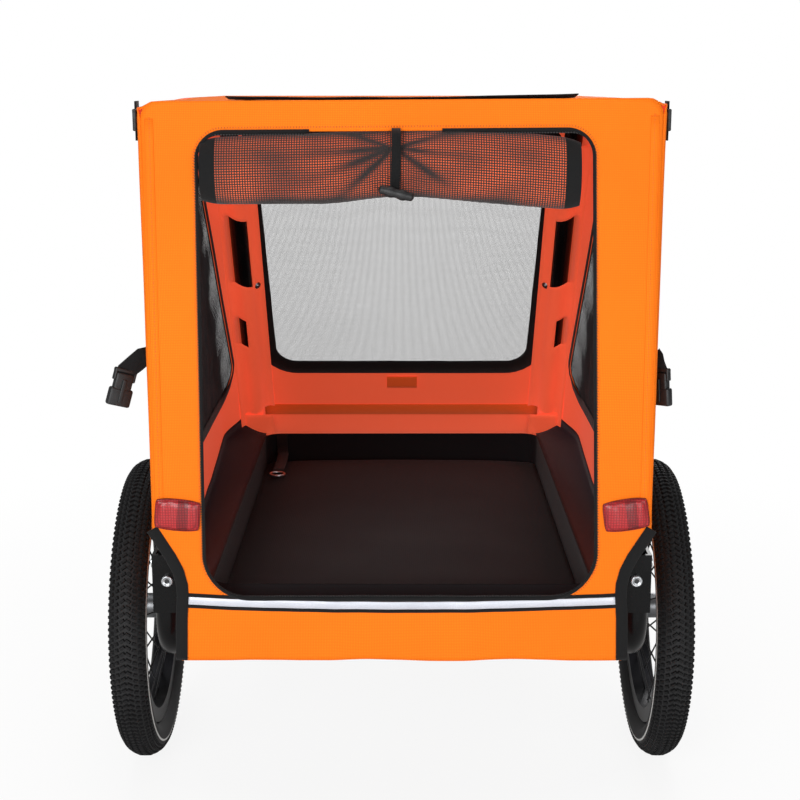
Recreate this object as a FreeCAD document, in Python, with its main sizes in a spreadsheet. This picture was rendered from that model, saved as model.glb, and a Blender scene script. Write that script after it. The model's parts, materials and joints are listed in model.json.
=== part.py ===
import FreeCAD, Part
import math
import os
import re

V = FreeCAD.Vector

# Driving dimensions in millimetres. Y is measured from the rear panel, forwards is +Y.
SIZES = {
    "wheel_diameter": 406, "tyre_section": 50, "tyre_wall": 4, "tyre_sink": 5,
    "rim_depth": 19, "rim_width": 30, "hub_length": 84, "hub_diameter": 34,
    "flange_diameter": 58, "flange_thick": 4, "flange_inset": 14, "spoke_diameter": 2.2,
    "axle_diameter": 12, "track_half": 346, "axle_reach": 375, "running_gap": 0.05,
    "button_diameter": 7, "button_length": 16, "button_show": 6, "button_travel": 4,
    "rail_diameter": 28, "rail_wall": 2, "rail_half": 265, "rail_height": 276,
    "nose_gap_reach": 790, "rear_cross_reach": 70,
    "hoop_diameter": 25, "hoop_wall": 1.6, "hoop_half": 262, "hoop_reach": 22,
    "pivot_rise": 109, "hoop_top": 879, "front_half": 234, "front_top_reach": 450,
    "front_pivot_lead": 1.7, "front_pivot_height": 340,
    "bracket_drop": 55, "bracket_height": 68, "bracket_plate": 4, "side_gap": 0.5,
    "bracket_depth": 33, "pin_diameter": 8, "pin_head": 13, "pin_head_thick": 3,
    "bolt_drop": 16, "bolt_diameter": 8, "bolt_head": 13, "bolt_head_thick": 5,
    "corner_length": 34, "corner_wall": 3, "axle_plate": 6, "axle_plate_width": 70,
    "axle_plate_drop": 24, "cloth": 2, "soft_gap": 0.5, "seat_gap": 0.3,
    "panel_half": 277, "panel_top": 892, "panel_corner": 14, "hem_height": 274,
    "hem_half": 243, "cut_height": 429, "door_top": 866, "door_half": 211,
    "door_low_half": 205, "sill_height": 352, "door_corner": 42, "zip_width": 9,
    "zip_thick": 1.2, "band_height": 18, "band_thick": 0.8, "reflector_width": 50,
    "reflector_height": 40, "reflector_thick": 8, "reflector_in": 247,
    "reflector_height_at": 448, "roll_length": 396, "roll_height": 76, "roll_depth": 40,
    "roll_pinch": 12, "toggle_length": 40, "toggle_diameter": 11, "toggle_drop": 65,
    "loop_width": 10, "loop_thick": 1.5, "tub_half": 220, "tub_rear_reach": 44,
    "tub_front_gap": 28.3, "tub_height": 350, "mat_thick": 27, "mat_crown": 4,
    "window_margin": 56, "window_corner": 36, "net_thick": 1,
    "net_strand": 2.4, "front_window_low": 125, "front_window_high": 60,
    "front_window_side": 42, "roof_strip_half": 186, "roof_strip_depth": 210,
    "roof_strip_thick": 4, "strap_width": 25, "strap_thick": 2, "buckle_width": 36,
    "buckle_length": 46, "buckle_thick": 12, "side_strap_height": 615,
    "side_strap_length": 40, "right_strap_length": 14, "side_strap_reach": 16,
    "lock_width": 28, "lock_length": 22, "lock_thick": 5, "lock_height": 868, "lock_reach": 14,
    "leash_width": 18,
    "leash_length": 130, "leash_in": 190, "leash_rise": 32, "hook_ring": 11, "hook_wire": 4,
    "tow_in": 170, "tow_diameter": 26, "tow_wall": 2, "tow_pivot_lead": 56,
    "tow_plate": 5, "tow_plate_height": 44, "tow_arm_length": 424, "tow_level": 34,
    "tow_bend": 90, "tow_end_length": 82, "knuckle_diameter": 46, "knuckle_height": 56,
    "hitch_thick": 6, "hitch_width": 40, "hitch_length": 68, "hitch_hole": 10.5,
    "hitch_bolt_diameter": 10, "hitch_bolt_head": 19, "hitch_bolt_head_thick": 7,
    "overrun": 5, "clevis_cover": 9.6, "collar_diameter": 21.6,
}
SPOKE_COUNT = 28
REFLECTOR_TILT = 6
FRONT_NET_COUNTS = (17, 13)
SIDE_NET_COUNTS = (13, 14)
RAIL_BEND_SHARE = 0.78
ELBOW_BEND_SHARE = 0.8
HITCH_CORNER_SHARE = 0.45
NOSE_INSET_SHARE = 1.2
WINDOW_SILL_SHARE = 1.4
STRAND_CLEAR_SHARE = 0.4
SAME_POINT_SHARE = 1e-6
ON_FACE_SHARE = 1e-3
ALONG_SHARE = 0.9

doc = FreeCAD.newDocument("dog_bike_trailer")
sheet = doc.addObject("Spreadsheet::Sheet", "dims")
for row, (alias, value) in enumerate(SIZES.items(), start=1):
    sheet.set(f"A{row}", alias)
    sheet.set(f"B{row}", str(value))
    sheet.setAlias(f"B{row}", alias)
doc.recompute()
size = {alias: float(getattr(sheet, alias)) for alias in SIZES}
nodes = []

# The origin stands on the ground under the middle of the whole length.
loop_face = size["roll_depth"] / 2 - size["roll_pinch"] / 4 + size["loop_thick"] + size["seat_gap"] * 2
back_reach = loop_face + size["seat_gap"] + size["toggle_diameter"]
tow_pivot_reach = size["nose_gap_reach"] + size["tow_pivot_lead"]
knee_reach = tow_pivot_reach + size["tow_arm_length"]
knuckle_reach = knee_reach + size["tow_end_length"]
nose_reach = knuckle_reach + size["hitch_length"]
shift = (back_reach - nose_reach) / 2
axle_height = size["wheel_diameter"] / 2
# The rim reaches a little way into the tyre's round section.
rim_outer = size["wheel_diameter"] / 2 - size["tyre_section"] + size["tyre_sink"]
RIM_OUTER = "wheel_diameter / 2 - tyre_section + tyre_sink"
toggle_height = size["door_top"] - size["toggle_drop"]


def bind(item, prop, text):
    """Ties one property to cells of the sheet; text names their aliases."""
    item.setExpression(prop, re.sub(r"[a-z]+_?[a-z_]*", lambda word: "dims." + word[0], text))


def node(item, label):
    """Marks an object as a sub-part that is written out under its label."""
    item.Label = label
    nodes.append(item)
    return item


def place(item, x, y, z, axis=None, angle=0):
    """Sets a placement; y counts from the rear panel."""
    turn = FreeCAD.Rotation(axis, angle) if axis else FreeCAD.Rotation()
    item.Placement = FreeCAD.Placement(V(x, y + shift, z), turn)
    return item


def box(name, length, width, height, x, y, z):
    """A box whose least corner is at x, y, z."""
    item = doc.addObject("Part::Box", name)
    for prop, text in zip(("Length", "Width", "Height"), (length, width, height)):
        bind(item, prop, text)
    return place(item, x, y, z)


def rod(name, along, radius, height, x, y, z):
    """A cylinder that starts at x, y, z and runs along +X, +Y or +Z."""
    item = doc.addObject("Part::Cylinder", name)
    bind(item, "Radius", radius)
    bind(item, "Height", height)
    turns = {"X": (V(0, 1, 0), 90), "Y": (V(1, 0, 0), -90), "Z": (None, 0)}
    return place(item, x, y, z, *turns[along])


def ring(name, major, minor, x, y, z):
    """A torus round the X axis."""
    item = doc.addObject("Part::Torus", name)
    bind(item, "Radius1", major)
    bind(item, "Radius2", minor)
    return place(item, x, y, z, V(0, 1, 0), 90)


def cut(name, base, tool):
    """One object less another."""
    item = doc.addObject("Part::Cut", name)
    item.Base = base
    item.Tool = tool
    return item


def fuse(name, *shapes):
    """Several touching objects as one solid."""
    item = doc.addObject("Part::MultiFuse", name)
    item.Shapes = list(shapes)
    return item


def group(name, *shapes):
    """Several separate solids as one object."""
    item = doc.addObject("Part::Compound", name)
    item.Links = list(shapes)
    return item


def rounded(points, radius):
    """A wire through points, with its inner corners rounded by radius."""
    closed = points[0] == points[-1]
    corners = points[:-1] if closed else points
    ends = []
    count = len(corners)
    for place_in, point in enumerate(corners):
        if not closed and place_in in (0, count - 1):
            ends.append((point, None, point))
            continue
        back = (corners[place_in - 1] - point).normalize()
        ahead = (corners[(place_in + 1) % count] - point).normalize()
        half = math.acos(max(-1, min(1, back.dot(ahead)))) / 2
        reach = radius / math.tan(half)
        middle = point + (back + ahead).normalize() * (radius / math.sin(half) - radius)
        ends.append((point + back * reach, middle, point + ahead * reach))
    edges = []
    for place_in, (start, middle, end) in enumerate(ends):
        if middle is not None:
            edges.append(Part.Arc(start, middle, end).toShape())
        last = place_in == count - 1
        if last and not closed:
            break
        follow = ends[(place_in + 1) % count][0]
        if (follow - end).Length > radius * SAME_POINT_SHARE:
            edges.append(Part.makeLine(end, follow))
    return Part.Wire(edges)


def path(name, wire):
    """A wire kept in the document as the base of a sweep or a plate."""
    item = doc.addObject("Part::Feature", name)
    item.Shape = wire
    return item


def sweep(name, spine, radius):
    """A round bar along a path."""
    first = spine.Shape.Edges[0]
    start = first.valueAt(first.FirstParameter)
    heading = first.tangentAt(first.FirstParameter)
    circle = doc.addObject("Part::Circle", name + "_ring")
    bind(circle, "Radius", radius)
    circle.Placement = FreeCAD.Placement(start, FreeCAD.Rotation(V(0, 0, 1), heading))
    item = doc.addObject("Part::Sweep", name)
    item.Sections = [circle]
    item.Spine = (spine, [])
    item.Solid = True
    return item


def tube(name, points, outer, wall, bend):
    """A bent tube through points given as x, y from the rear panel, z."""
    spine = path(name + "_path", rounded([V(x, y + shift, z) for x, y, z in points], bend))
    skin = sweep(name + "_skin", spine, f"{outer} / 2")
    bore = sweep(name + "_bore", spine, f"{outer} / 2 - {wall}")
    return cut(name, skin, bore)


def plate(name, points, radius, thick, along):
    """A flat plate: an outline in y or x and z, made thick along an axis."""
    corners = [V(x, y + shift, z) for x, y, z in points]
    outline = path(name + "_line", rounded(corners + corners[:1], radius))
    item = doc.addObject("Part::Extrusion", name)
    item.Base = outline
    item.DirMode = "Custom"
    item.Dir = along
    item.Solid = True
    bind(item, "LengthFwd", thick)
    return item


def net(outline_wire, cells, origin, right, up, width, height, strand):
    """A flat mesh face: a grid of square gaps inside a closed outline."""
    face = Part.Face(outline_wire)
    columns, rows = cells
    step = V(width / columns, height / rows, 0)
    rim = V(strand, strand, 0)
    gaps = []
    for column in range(columns):
        for row in range(rows):
            low = V(column * step.x, row * step.y, 0) + rim / 2
            high = V((column + 1) * step.x, (row + 1) * step.y, 0) - rim / 2
            pairs = [(low.x, low.y), (high.x, low.y), (high.x, high.y), (low.x, high.y)]
            corners = [origin + right * across + up * rise for across, rise in pairs]
            inside = all(
                face.isInside(corner + away * (strand * STRAND_CLEAR_SHARE), strand * ON_FACE_SHARE, True)
                for corner in corners
                for away in (right, -right, up, -up)
            )
            if inside:
                gaps.append(Part.makePolygon(corners + corners[:1]))
    return Part.makeFace([outline_wire] + gaps, "Part::FaceMakerBullseye")


def both(make):
    """Makes a piece on the left and on the right."""
    return [make("left", -1), make("right", 1)]


# Floor frame
rail_radius = size["rail_diameter"] / 2
rail_top = size["rail_height"] + rail_radius
pivot_height = size["rail_height"] + size["pivot_rise"]
bracket_bottom = pivot_height - size["bracket_drop"]
bolt_height = pivot_height - size["bolt_drop"]
rail_bend = (bracket_bottom - size["rail_height"]) * RAIL_BEND_SHARE


def base_rail(side, sign):
    across = sign * size["rail_half"]
    points = [
        (across, size["nose_gap_reach"], size["rail_height"]),
        (across, size["hoop_reach"], size["rail_height"]),
        (across, size["hoop_reach"], bracket_bottom),
    ]
    bent = tube(f"rail_{side}", points, "rail_diameter", "rail_wall", rail_bend)
    return node(bent, f"base_rail_{side}")


both(base_rail)


def cross_tube(name, reach, half):
    points = [(-half, reach, size["rail_height"]), (half, reach, size["rail_height"])]
    return node(tube(name, points, "rail_diameter", "rail_wall", 0), name)


cross_half = size["rail_half"] - rail_radius - size["seat_gap"]
cross_tube("rear_cross_tube", size["rear_cross_reach"], cross_half)
cross_tube("axle_cross_tube", size["axle_reach"], cross_half)
front_cross_reach = size["nose_gap_reach"] + rail_radius + size["seat_gap"]
front_pivot_reach = front_cross_reach + size["front_pivot_lead"]
tub_front = front_cross_reach - size["tub_front_gap"]
cross_tube("front_cross_tube", front_cross_reach, size["rail_half"] + rail_radius)


# Hinge brackets: folded channels that carry the two hoops
channel_half = size["hoop_diameter"] / 2 + size["side_gap"]


def rear_bracket(side, sign):
    middle = sign * size["hoop_half"]
    outer = "hoop_diameter + 2 * side_gap + 2 * bracket_plate"
    back = size["hoop_reach"] - size["hoop_diameter"] / 2 - size["side_gap"] - size["bracket_plate"]
    left = middle - channel_half - size["bracket_plate"]
    corner = (left, back, bracket_bottom)
    solid = box(f"channel_{side}", outer, "bracket_depth", "bracket_height", *corner)
    room = box(
        f"channel_room_{side}", "hoop_diameter + 2 * side_gap", "bracket_depth", "bracket_height",
        middle - channel_half, back + size["bracket_plate"], bracket_bottom + size["bracket_plate"],
    )
    hollow = cut(f"channel_cut_{side}", solid, room)
    pin = rod(
        f"channel_pin_{side}", "X", "pin_diameter / 2 + running_gap",
        outer + " + 2 * overrun", left - size["overrun"], size["hoop_reach"], pivot_height,
    )
    drilled = cut(f"channel_drilled_{side}", hollow, pin)
    hole = rod(
        f"channel_bolt_{side}", "Y", "bolt_diameter / 2", "bracket_plate + 2 * overrun",
        middle, back - size["overrun"], bolt_height,
    )
    return cut(f"rear_bracket_{side}", drilled, hole)


node(group("rear_brackets", *both(rear_bracket)), "rear_brackets")

front_base = size["rail_height"] + rail_radius + size["seat_gap"]


def front_bracket(side, sign):
    middle = sign * size["front_half"]
    left = middle - channel_half - size["bracket_plate"]
    back = front_pivot_reach - size["bracket_depth"] / 2
    outer = "hoop_diameter + 2 * side_gap + 2 * bracket_plate"
    tall = "front_pivot_height + clevis_cover - rail_height - rail_diameter / 2 - seat_gap"
    solid = box(f"clevis_{side}", outer, "bracket_depth", tall, left, back, front_base)
    room = box(
        f"clevis_room_{side}", "hoop_diameter + 2 * side_gap", "bracket_depth + 2 * overrun", tall,
        middle - channel_half, back - size["overrun"], front_base + size["bracket_plate"],
    )
    hollow = cut(f"clevis_cut_{side}", solid, room)
    pin = rod(
        f"clevis_pin_{side}", "X", "pin_diameter / 2 + running_gap", outer + " + 2 * overrun",
        left - size["overrun"], front_pivot_reach, size["front_pivot_height"],
    )
    return cut(f"front_bracket_{side}", hollow, pin)


node(group("front_brackets", *both(front_bracket)), "front_brackets")


def hinge_pin(name, middle, reach, height):
    outer = "hoop_diameter + 2 * side_gap + 2 * bracket_plate"
    left = middle - channel_half - size["bracket_plate"]
    right = middle + channel_half + size["bracket_plate"]
    shank = rod(name + "_shank", "X", "pin_diameter / 2", outer, left, reach, height)
    heads = [
        rod(f"{name}_head{end}", "X", "pin_head / 2", "pin_head_thick", start, reach, height)
        for end, start in enumerate((left - size["pin_head_thick"], right))
    ]
    return fuse(name, shank, *heads)


pins = [
    hinge_pin(f"{end}_pin_{side}", sign * half, reach, height)
    for end, half, reach, height in (
        ("rear", size["hoop_half"], size["hoop_reach"], pivot_height),
        ("front", size["front_half"], front_pivot_reach, size["front_pivot_height"]),
    )
    for side, sign in (("left", -1), ("right", 1))
]
node(group("hinge_pins", *pins), "hinge_pins")


def lock_bolt(side, sign):
    back = size["hoop_reach"] - size["hoop_diameter"] / 2 - size["side_gap"] - size["bracket_plate"]
    middle = sign * size["hoop_half"]
    root = (middle, back, bolt_height)
    shank = rod(f"lock_shank_{side}", "Y", "bolt_diameter / 2", "bracket_plate", *root)
    head = rod(
        f"lock_head_{side}", "Y", "bolt_head / 2", "bolt_head_thick",
        middle, back - size["bolt_head_thick"], bolt_height,
    )
    socket = rod(
        f"lock_socket_{side}", "Y", "bolt_diameter / 3", "bolt_head_thick / 2",
        middle, back - size["bolt_head_thick"], bolt_height,
    )
    return cut(f"lock_bolt_{side}", fuse(f"lock_body_{side}", shank, head), socket)


node(group("lock_bolts", *both(lock_bolt)), "lock_bolts")


# Axle plates and stub axles
def axle_plate(side, sign):
    inner = size["rail_half"] + rail_radius
    low = axle_height - size["axle_plate_drop"]
    points = [
        (sign * inner, size["axle_reach"] - size["axle_plate_width"] / 2, rail_top),
        (sign * inner, size["axle_reach"] + size["axle_plate_width"] / 2, rail_top),
        (sign * inner, size["axle_reach"] + size["axle_plate_drop"], low),
        (sign * inner, size["axle_reach"] - size["axle_plate_drop"], low),
    ]
    solid = plate(f"axle_blank_{side}", points, size["axle_plate"], "axle_plate", V(sign, 0, 0))
    hole = rod(
        f"axle_hole_{side}", "X", "axle_diameter / 2", "axle_plate + 2 * overrun",
        sign * inner - size["overrun"] - (size["axle_plate"] if sign < 0 else 0),
        size["axle_reach"], axle_height,
    )
    return cut(f"axle_plate_{side}", solid, hole)


node(group("axle_plates", *both(axle_plate)), "axle_plates")

hub_inner = size["track_half"] - size["hub_length"] / 2
hub_outer = size["track_half"] + size["hub_length"] / 2
axle_start = size["rail_half"] + rail_radius
collar_end = hub_inner - size["soft_gap"]


def stub_axle(side, sign):
    def along(name, radius, start, end, length):
        low = start if sign > 0 else -end
        return rod(f"{name}_{side}", "X", radius, length, low, size["axle_reach"], axle_height)

    plate_end = axle_start + size["axle_plate"]
    reach = "track_half + hub_length / 2 - rail_half - rail_diameter / 2"
    shank = along("axle_shank", "axle_diameter / 2", axle_start, hub_outer, reach)
    collar_length = "track_half - hub_length / 2 - soft_gap - rail_half - rail_diameter / 2 - axle_plate"
    collar = along("axle_collar", "collar_diameter / 2", plate_end, collar_end, collar_length)
    bore_start = hub_outer - size["button_length"]
    bore = along(
        "axle_bore", "button_diameter / 2 + running_gap", bore_start - size["button_travel"],
        hub_outer + size["overrun"], "button_length + button_travel + overrun",
    )
    return cut(f"stub_axle_{side}", fuse(f"axle_body_{side}", shank, collar), bore)


node(group("stub_axles", *both(stub_axle)), "stub_axles")


# Wheels
def wheel(side, sign):
    middle = sign * size["track_half"]
    spot = (middle, size["axle_reach"], axle_height)
    major = "(wheel_diameter - tyre_section) / 2"
    skin = ring(f"tyre_skin_{side}", major, "tyre_section / 2", *spot)
    air = ring(f"tyre_air_{side}", major, "tyre_section / 2 - tyre_wall", *spot)
    seat = rod(
        f"tyre_seat_{side}", "X", RIM_OUTER + " + seat_gap", "tyre_section + 2 * overrun",
        middle - size["tyre_section"] / 2 - size["overrun"], *spot[1:],
    )
    casing = cut(f"tyre_casing_{side}", skin, air)
    node(cut(f"tyre_{side}", casing, seat), f"tyre_{side}")

    left = middle - size["rim_width"] / 2
    hoop = rod(f"rim_hoop_{side}", "X", RIM_OUTER, "rim_width", left, *spot[1:])
    hole = rod(
        f"rim_hole_{side}", "X", RIM_OUTER + " - rim_depth", "rim_width + 2 * overrun",
        left - size["overrun"], *spot[1:],
    )
    well = ring(f"rim_well_{side}", RIM_OUTER + " + rim_width / 8", "rim_width / 3", *spot)
    node(cut(f"rim_{side}", cut(f"rim_band_{side}", hoop, hole), well), f"rim_{side}")

    start = middle - size["hub_length"] / 2
    barrel = rod(f"hub_barrel_{side}", "X", "hub_diameter / 2", "hub_length", start, *spot[1:])
    inset = size["flange_inset"]
    flange_at = (start + inset, start + size["hub_length"] - inset - size["flange_thick"])
    flanges = [
        rod(f"hub_flange{end}_{side}", "X", "flange_diameter / 2", "flange_thick", low, *spot[1:])
        for end, low in enumerate(flange_at)
    ]
    bore = rod(
        f"hub_bore_{side}", "X", "axle_diameter / 2 + running_gap", "hub_length + 2 * overrun",
        start - size["overrun"], *spot[1:],
    )
    node(cut(f"hub_{side}", fuse(f"hub_body_{side}", barrel, *flanges), bore), f"hub_{side}")

    root_radius = size["flange_diameter"] / 2 + size["seat_gap"]
    rim_radius = rim_outer - size["rim_depth"] - size["seat_gap"]
    bars = []
    for count in range(SPOKE_COUNT):
        turn = 2 * math.pi * count / SPOKE_COUNT
        low = flange_at[count % 2] + size["flange_thick"] / 2
        root = V(low, root_radius * math.cos(turn), root_radius * math.sin(turn))
        tip = V(middle, rim_radius * math.cos(turn), rim_radius * math.sin(turn))
        bar = doc.addObject("Part::Cylinder", f"spoke{count}_{side}")
        bind(bar, "Radius", "spoke_diameter / 2")
        bar.Height = (tip - root).Length
        at = root + V(0, size["axle_reach"] + shift, axle_height)
        bar.Placement = FreeCAD.Placement(at, FreeCAD.Rotation(V(0, 0, 1), tip - root))
        bars.append(bar)
    node(group(f"spokes_{side}", *bars), f"spokes_{side}")

    stem = size["button_length"]
    start = hub_outer - stem if sign > 0 else -hub_outer
    body = rod(f"button_stem_{side}", "X", "button_diameter / 2", "button_length", start, *spot[1:])
    start = hub_outer if sign > 0 else -hub_outer - size["button_show"]
    head = rod(f"button_head_{side}", "X", "button_diameter / 2", "button_show", start, *spot[1:])
    node(fuse(f"release_button_{side}", body, head), f"release_button_{side}")


both(wheel)


# Rear hoop
def rear_upright(side, sign):
    middle = sign * size["hoop_half"]
    points = [
        (middle, size["hoop_reach"], pivot_height),
        (middle, size["hoop_reach"], size["hoop_top"] - size["corner_length"]),
    ]
    bare = tube(f"rear_tube_{side}", points, "hoop_diameter", "hoop_wall", 0)
    eye = rod(
        f"rear_eye_{side}", "X", "hoop_diameter / 2 - side_gap", "hoop_diameter - 2 * side_gap",
        middle - size["hoop_diameter"] / 2 + size["side_gap"], size["hoop_reach"], pivot_height,
    )
    plugged = fuse(f"rear_plugged_{side}", bare, eye)
    hole = rod(
        f"rear_hole_{side}", "X", "pin_diameter / 2 + running_gap", "hoop_diameter + 2 * overrun",
        middle - size["hoop_diameter"] / 2 - size["overrun"], size["hoop_reach"], pivot_height,
    )
    return node(cut(f"rear_upright_{side}", plugged, hole), f"rear_upright_{side}")


both(rear_upright)
bar_half = size["hoop_half"] - size["corner_length"]
elbow_bend = size["hoop_diameter"] * ELBOW_BEND_SHARE
bar_points = [(end * bar_half, size["hoop_reach"], size["hoop_top"]) for end in (-1, 1)]
node(tube("rear_crossbar", bar_points, "hoop_diameter", "hoop_wall", 0), "rear_crossbar")


def rear_corner(side, sign):
    points = [
        (sign * size["hoop_half"], size["hoop_reach"], size["hoop_top"] - size["corner_length"]),
        (sign * size["hoop_half"], size["hoop_reach"], size["hoop_top"]),
        (sign * bar_half, size["hoop_reach"], size["hoop_top"]),
    ]
    return tube(f"rear_elbow_{side}", points, "hoop_diameter", "corner_wall", elbow_bend)


node(group("rear_corners", *both(rear_corner)), "rear_corners")


# Front hoop, which leans back from the nose to the roof
lean_run = front_pivot_reach - size["front_top_reach"]
lean_rise = size["hoop_top"] - size["front_pivot_height"]
lean_length = math.hypot(lean_run, lean_rise)
lean = V(0, -lean_run / lean_length, lean_rise / lean_length)
lean_out = V(0, lean.z, -lean.y)


def on_lean(across, along, out=0):
    """A point on the front hoop's plane: across, up along the lean, outwards."""
    return (
        across,
        front_pivot_reach + lean.y * along + lean_out.y * out,
        size["front_pivot_height"] + lean.z * along + lean_out.z * out,
    )


def front_strut(side, sign):
    middle = sign * size["front_half"]
    points = [
        on_lean(middle, -size["hoop_diameter"] / 2),
        on_lean(middle, lean_length - size["corner_length"]),
    ]
    bare = tube(f"front_tube_{side}", points, "hoop_diameter", "hoop_wall", 0)
    hole = rod(
        f"front_hole_{side}", "X", "pin_diameter / 2 + running_gap", "hoop_diameter + 2 * overrun",
        middle - size["hoop_diameter"] / 2 - size["overrun"],
        front_pivot_reach, size["front_pivot_height"],
    )
    return node(cut(f"front_strut_{side}", bare, hole), f"front_strut_{side}")


both(front_strut)
top_half = size["front_half"] - size["corner_length"]
top_points = [on_lean(-top_half, lean_length), on_lean(top_half, lean_length)]
node(tube("front_crossbar", top_points, "hoop_diameter", "hoop_wall", 0), "front_crossbar")


def front_corner(side, sign):
    middle = sign * size["front_half"]
    points = [
        on_lean(middle, lean_length - size["corner_length"]),
        on_lean(middle, lean_length),
        on_lean(sign * top_half, lean_length),
    ]
    return tube(f"front_elbow_{side}", points, "hoop_diameter", "corner_wall", elbow_bend)


node(group("front_corners", *both(front_corner)), "front_corners")


# Rear cloth: a panel on the hoop and a skirt on the floor frame
back_face = size["hoop_reach"] - size["hoop_diameter"] / 2 - size["bracket_plate"] - size["bolt_head_thick"]
cloth_back = back_face - size["soft_gap"] - size["seat_gap"] - size["cloth"]
split = pivot_height


def mirrored(pairs):
    """Outline points for the right half, then the same on the left."""
    ordered = list(pairs) + [(-across, height) for across, height in reversed(pairs)]
    return [(across, cloth_back, height) for across, height in ordered]


panel_low = split + size["seat_gap"]
panel_pairs = [
    (size["hem_half"], panel_low),
    (size["panel_half"], size["cut_height"]),
    (size["panel_half"], size["panel_top"]),
]
panel_outer = plate("panel_blank", mirrored(panel_pairs), size["panel_corner"], "cloth", V(0, 1, 0))
door_pairs = [(size["door_low_half"], size["sill_height"]), (size["door_half"], size["door_top"])]
door_void = plate("door_void", mirrored(door_pairs), size["door_corner"], "cloth + 2 * overrun", V(0, 1, 0))
place(door_void, 0, -size["overrun"] - shift, 0)
panel = cut("rear_panel_cut", panel_outer, door_void)
node(panel, "rear_panel")

skirt_pairs = [(size["hem_half"], size["hem_height"]), (size["hem_half"], split)]
skirt_blank = plate("skirt_blank", mirrored(skirt_pairs), size["overrun"], "cloth", V(0, 1, 0))
door_void_low = plate(
    "door_void_low", mirrored(door_pairs), size["door_corner"], "cloth + 2 * overrun", V(0, 1, 0),
)
place(door_void_low, 0, -size["overrun"] - shift, 0)
node(cut("rear_skirt_cut", skirt_blank, door_void_low), "rear_skirt")

band_low = size["sill_height"] - size["band_height"] - size["zip_width"]
node(
    box(
        "band", "2 * hem_half", "band_thick", "band_height",
        -size["hem_half"], cloth_back - size["band_thick"], band_low,
    ),
    "reflective_band",
)


def zip_outline(grow, low, name):
    pairs = [
        (size["door_low_half"] + grow, size["sill_height"] - grow),
        (size["door_half"] + grow, size["door_top"] + grow),
    ]
    item = plate(name, mirrored(pairs), size["door_corner"] + grow, "zip_thick", V(0, 1, 0))
    return place(item, 0, -low - shift, 0)


zip_outer = zip_outline(size["zip_width"], size["zip_thick"], "zip_outer")
zip_inner = plate(
    "zip_inner", mirrored(door_pairs), size["door_corner"], "zip_thick + 2 * overrun", V(0, 1, 0),
)
place(zip_inner, 0, -size["zip_thick"] - size["overrun"] - shift, 0)
zip_ring = cut("zip_ring", zip_outer, zip_inner)
zip_upper_room = box(
    "zip_upper_room", "2 * panel_half", "zip_thick + 2 * overrun", "panel_top",
    -size["panel_half"], cloth_back - size["zip_thick"] - size["overrun"], panel_low,
)
zip_upper = doc.addObject("Part::Common", "zip_upper")
zip_upper.Base = zip_ring
zip_upper.Tool = zip_upper_room
node(zip_upper, "door_zip")


def reflector(side, sign):
    turn = FreeCAD.Rotation(V(0, 1, 0), -sign * REFLECTOR_TILT)
    corner = turn.multVec(V(size["reflector_width"] / 2, 0, size["reflector_height"] / 2))
    item = box(
        f"reflector_{side}", "reflector_width", "reflector_thick", "reflector_height",
        sign * size["reflector_in"] - corner.x, cloth_back - size["reflector_thick"],
        size["reflector_height_at"] - corner.z,
    )
    item.Placement = FreeCAD.Placement(item.Placement.Base, turn)
    soft = doc.addObject("Part::Fillet", f"reflector_round_{side}")
    soft.Base = item
    doc.recompute()
    upright = [
        index + 1 for index, edge in enumerate(item.Shape.Edges)
        if abs(edge.tangentAt(edge.FirstParameter).y) > ALONG_SHARE
    ]
    round_by = size["reflector_thick"] / 2
    soft.Edges = [(index, round_by, round_by) for index in upright]
    return soft


node(group("reflectors", *both(reflector)), "reflectors")


# Rolled mesh door, tied up under the top of the opening and drawn in at its toggle
roll_mid = size["door_top"] - size["roll_height"] / 2 - size["soft_gap"] - size["loop_thick"]
ROLL_STATION_SHARES = (-0.5, -0.4, -0.12, 0, 0.12, 0.4, 0.5)
ROLL_TALL_SHARES = (0.72, 1, 1, 1, 1, 1, 0.72)
PINCH_SHARES = (0, 0, 0.25, 1, 0.25, 0, 0)
roll_sections = []
for station, tall_share, pinch in zip(ROLL_STATION_SHARES, ROLL_TALL_SHARES, PINCH_SHARES):
    tall = tall_share * size["roll_height"] / 2 - pinch * size["roll_pinch"] / 2
    deep = size["roll_depth"] / 2 - pinch * size["roll_pinch"] / 4
    middle = V(station * size["roll_length"], shift, roll_mid + pinch * size["roll_pinch"] / 2)
    oval = Part.Ellipse(middle + V(0, 0, tall), middle + V(0, deep, 0), middle)
    quarter = math.pi / 2
    arcs = [oval.toShape(turn * quarter, (turn + 1) * quarter) for turn in range(4)]
    roll_sections.append(Part.Wire(arcs))
roll = doc.addObject("Part::Feature", "door_roll")
roll.Shape = Part.makeLoft(roll_sections, True, True)
node(roll, "door_roll")

loop_low = toggle_height - size["toggle_diameter"] / 2
loop_front = -loop_face
loop_strap = box(
    "loop_fall", "loop_width", "loop_thick", "toggle_drop + toggle_diameter / 2",
    -size["loop_width"] / 2, loop_front, loop_low,
)
loop_run = box(
    "loop_run", "loop_width", "roll_depth / 2 + hoop_reach", "loop_thick",
    -size["loop_width"] / 2, loop_front, size["door_top"] - size["loop_thick"],
)
node(fuse("door_loop_fuse", loop_strap, loop_run), "door_loop")
toggle = rod(
    "toggle_bar", "X", "toggle_diameter / 2", "toggle_length",
    -size["toggle_length"] / 2, loop_front - size["toggle_diameter"] / 2 - size["seat_gap"],
    toggle_height,
)
node(toggle, "door_toggle")


# Front cloth and its mesh window, on the front hoop
front_out = size["hoop_diameter"] / 2 + size["soft_gap"]
front_cloth_half = size["front_half"] + size["hoop_diameter"] / 2


def lean_outline(half, low, high, out):
    pairs = [(-half, low), (half, low), (half, high), (-half, high)]
    return [on_lean(across, along, out) for across, along in pairs]


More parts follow.
